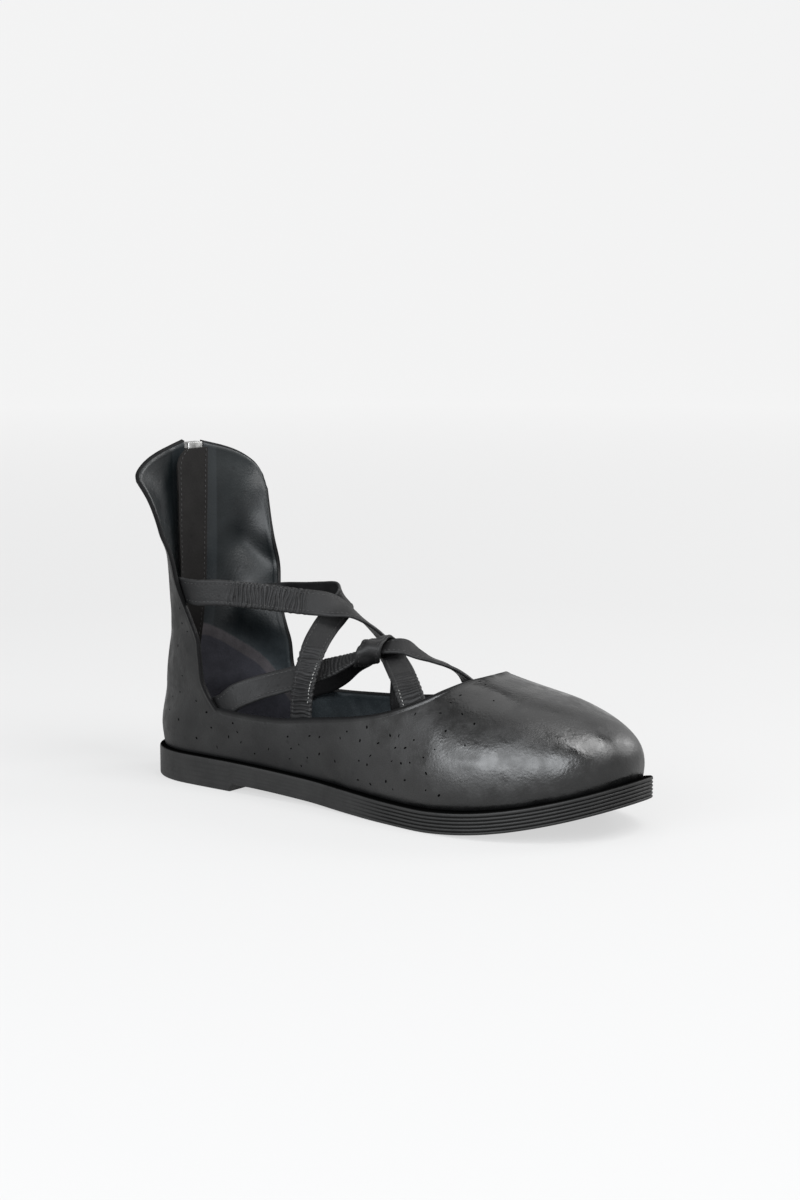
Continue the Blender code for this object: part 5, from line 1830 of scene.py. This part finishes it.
def rounded_copy(name, node, radius, material):
    """The CAD solid again with its edges rounded."""
    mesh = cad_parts[node].data.copy()
    mesh.materials.clear()
    merged = bmesh.new()
    merged.from_mesh(mesh)
    bmesh.ops.remove_doubles(merged, verts=merged.verts, dist=SAME_POINT * MM)
    bmesh.ops.dissolve_limit(merged, angle_limit=math.radians(FLAT_ANGLE), verts=merged.verts,
                             edges=merged.edges)
    merged.to_mesh(mesh)
    merged.free()
    copy = new_piece(name, mesh, [material])
    round_edges(copy, radius, CAST_ANGLE)
    copy.data.set_sharp_from_angle(angle=SHARP_ANGLE)
    return copy


slider = rounded_copy("zip_slider_body", "zip_slider", SLIDER_ROUND, zip_metal)
pull = rounded_copy("zip_pull_tab", "zip_pull", PULL_ROUND, zip_metal)

GUARD_SEWN = 5.5      # its two edges, as distances from the back seam
GUARD_FREE = -14.5
GUARD_DEPTH = 4.6     # its outer face is this far in from the shaft's
GUARD_THICK = 1.0
GUARD_ROUND = 9.0     # radius of its upper corner
GUARD_BOTTOM = 44.0
GUARD_TOP = 152.5
GUARD_COLUMNS = 20
GUARD_WAVE = 0.25     # the soft flap isn't quite flat
WAVE_ACROSS = 0.12    # how fast that changes, across and up
WAVE_UP = 0.05
WORN_SHARE = 0.04     # the free edge is worn over this share of the width
WORN_TOP = 0.5        # and the upper edge over this height
GUARD_SHARP = 60      # its edges that turn by more degrees than this stay sharp
GUARD_SEAMS = ((0.93, 4), (0.09, 3))  # share across, and the rows at the top without stitches


def guard_point(share, height, depth):
    """Point of the guard: share goes from its free edge, round at the top, to its sewn edge."""
    over = max(0.0, (height - GUARD_TOP + GUARD_ROUND) / GUARD_ROUND)
    free = GUARD_FREE + GUARD_ROUND * (1 - math.sqrt(max(0.0, 1 - over ** 2)))
    y = free + share * (GUARD_SEWN - free)
    soft = GUARD_WAVE * (noise.noise(Vector((y * WAVE_ACROSS, height * WAVE_UP, 4.0))) + 1) * (1 - share)
    shaft_here = shaft_back(shaft_turn(y, height), height)
    return swing_out((shaft_here + GUARD_DEPTH + depth + soft, y, height))


guard_heights = list(np.linspace(GUARD_BOTTOM, GUARD_TOP - GUARD_ROUND, 45))
guard_heights += [GUARD_TOP - GUARD_ROUND * (1 - math.sin(a)) for a in np.linspace(0, math.pi / 2, 12)[1:]]
guard_shares = np.linspace(0, 1, GUARD_COLUMNS)
guard_points, guard_edge = [], []
for depth in (0.0, GUARD_THICK):
    for height in guard_heights:
        for share in guard_shares:
            guard_points.append(guard_point(share, height, depth))
            worn_here = share < WORN_SHARE or height > GUARD_TOP - WORN_TOP
            guard_edge.append(1.0 if worn_here else 0.0)
rows = len(guard_heights)
layer = rows * GUARD_COLUMNS
guard_faces = []
for r in range(rows - 1):
    for c in range(GUARD_COLUMNS - 1):
        a = r * GUARD_COLUMNS + c
        b = a + GUARD_COLUMNS
        guard_faces.append((a, b, b + 1, a + 1))
        guard_faces.append((layer + a, layer + a + 1, layer + b + 1, layer + b))
rim_loop = list(range(GUARD_COLUMNS))
rim_loop += [r * GUARD_COLUMNS + GUARD_COLUMNS - 1 for r in range(1, rows)]
rim_loop += [(rows - 1) * GUARD_COLUMNS + c for c in range(GUARD_COLUMNS - 2, -1, -1)]
rim_loop += [r * GUARD_COLUMNS for r in range(rows - 2, 0, -1)]
for a, b in zip(rim_loop, rim_loop[1:] + rim_loop[:1]):
    guard_faces.append((a, b, layer + b, layer + a))
guard_mesh = mesh_from("zip_guard_flap", guard_points, guard_faces, {"edge": guard_edge})
guard = new_piece("zip_guard_flap", guard_mesh, [guard_leather])
guard.data.set_sharp_from_angle(angle=math.radians(GUARD_SHARP))
guard_lines = []
for share, bare_rows in GUARD_SEAMS:
    seam_heights = guard_heights[:-bare_rows]
    guard_lines.append(np.array([guard_point(share, h, GUARD_THICK + STITCH_LIFT) for h in seam_heights]))
guard_stitches = sew("guard_stitches", guard_lines, pitch=2.4, length=1.7, thickness=0.38,
                     thread_material=dark_thread)
print("guard triangles:", triangles(guard))

# %% [markdown]
# ## Insole and tapes
#
# The sock inside and the zip's tapes have the right shape already, so these CAD solids stay, and only
# get their finish.

# %% Finish of the solids that stay
solids_kept = {"insole": sock_cloth, "zip_tape_lateral": tape_cloth, "zip_tape_medial": tape_cloth}
for node, material in solids_kept.items():
    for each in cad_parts[node].material_slots:
        each.material = material
print("solids kept:", list(solids_kept))

# %% [markdown]
# ## Putting the shoe together
#
# Each piece is put on the body that carries it, and the solid it stands for is hidden. Only the
# pull tab is on a body of its own, because it swings on the slider.

# %% Bodies, and the solids that are hidden
for piece, node, slot in (
    (outsole, "outsole", "sole_rubber"),
    (upper, "upper", "upper_leather"),
    (straps["strap_ankle_lateral"], "strap_ankle_lateral", "strap_leather"),
    (straps["strap_ankle_medial"], "strap_ankle_medial", "strap_leather"),
    (straps["strap_core"], "strap_core", "strap_leather"),
    (straps["strap_wrap"], "strap_wrap", "strap_leather"),
    (teeth, "zip_chain", "zip_metal"),
    (slider, "zip_slider", "zip_metal"),
    (guard, "zip_guard", "guard_leather"),
):
    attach(piece, "shoe")
    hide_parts(node)
for piece, slot in (
    (pricks, "upper_leather"),
    (pale_stitches, "strap_leather"),
    (dark_stitches, "strap_leather"),
    (guard_stitches, "guard_leather"),
):
    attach(piece, "shoe")
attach(pull, "pull")
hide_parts("zip_pull")
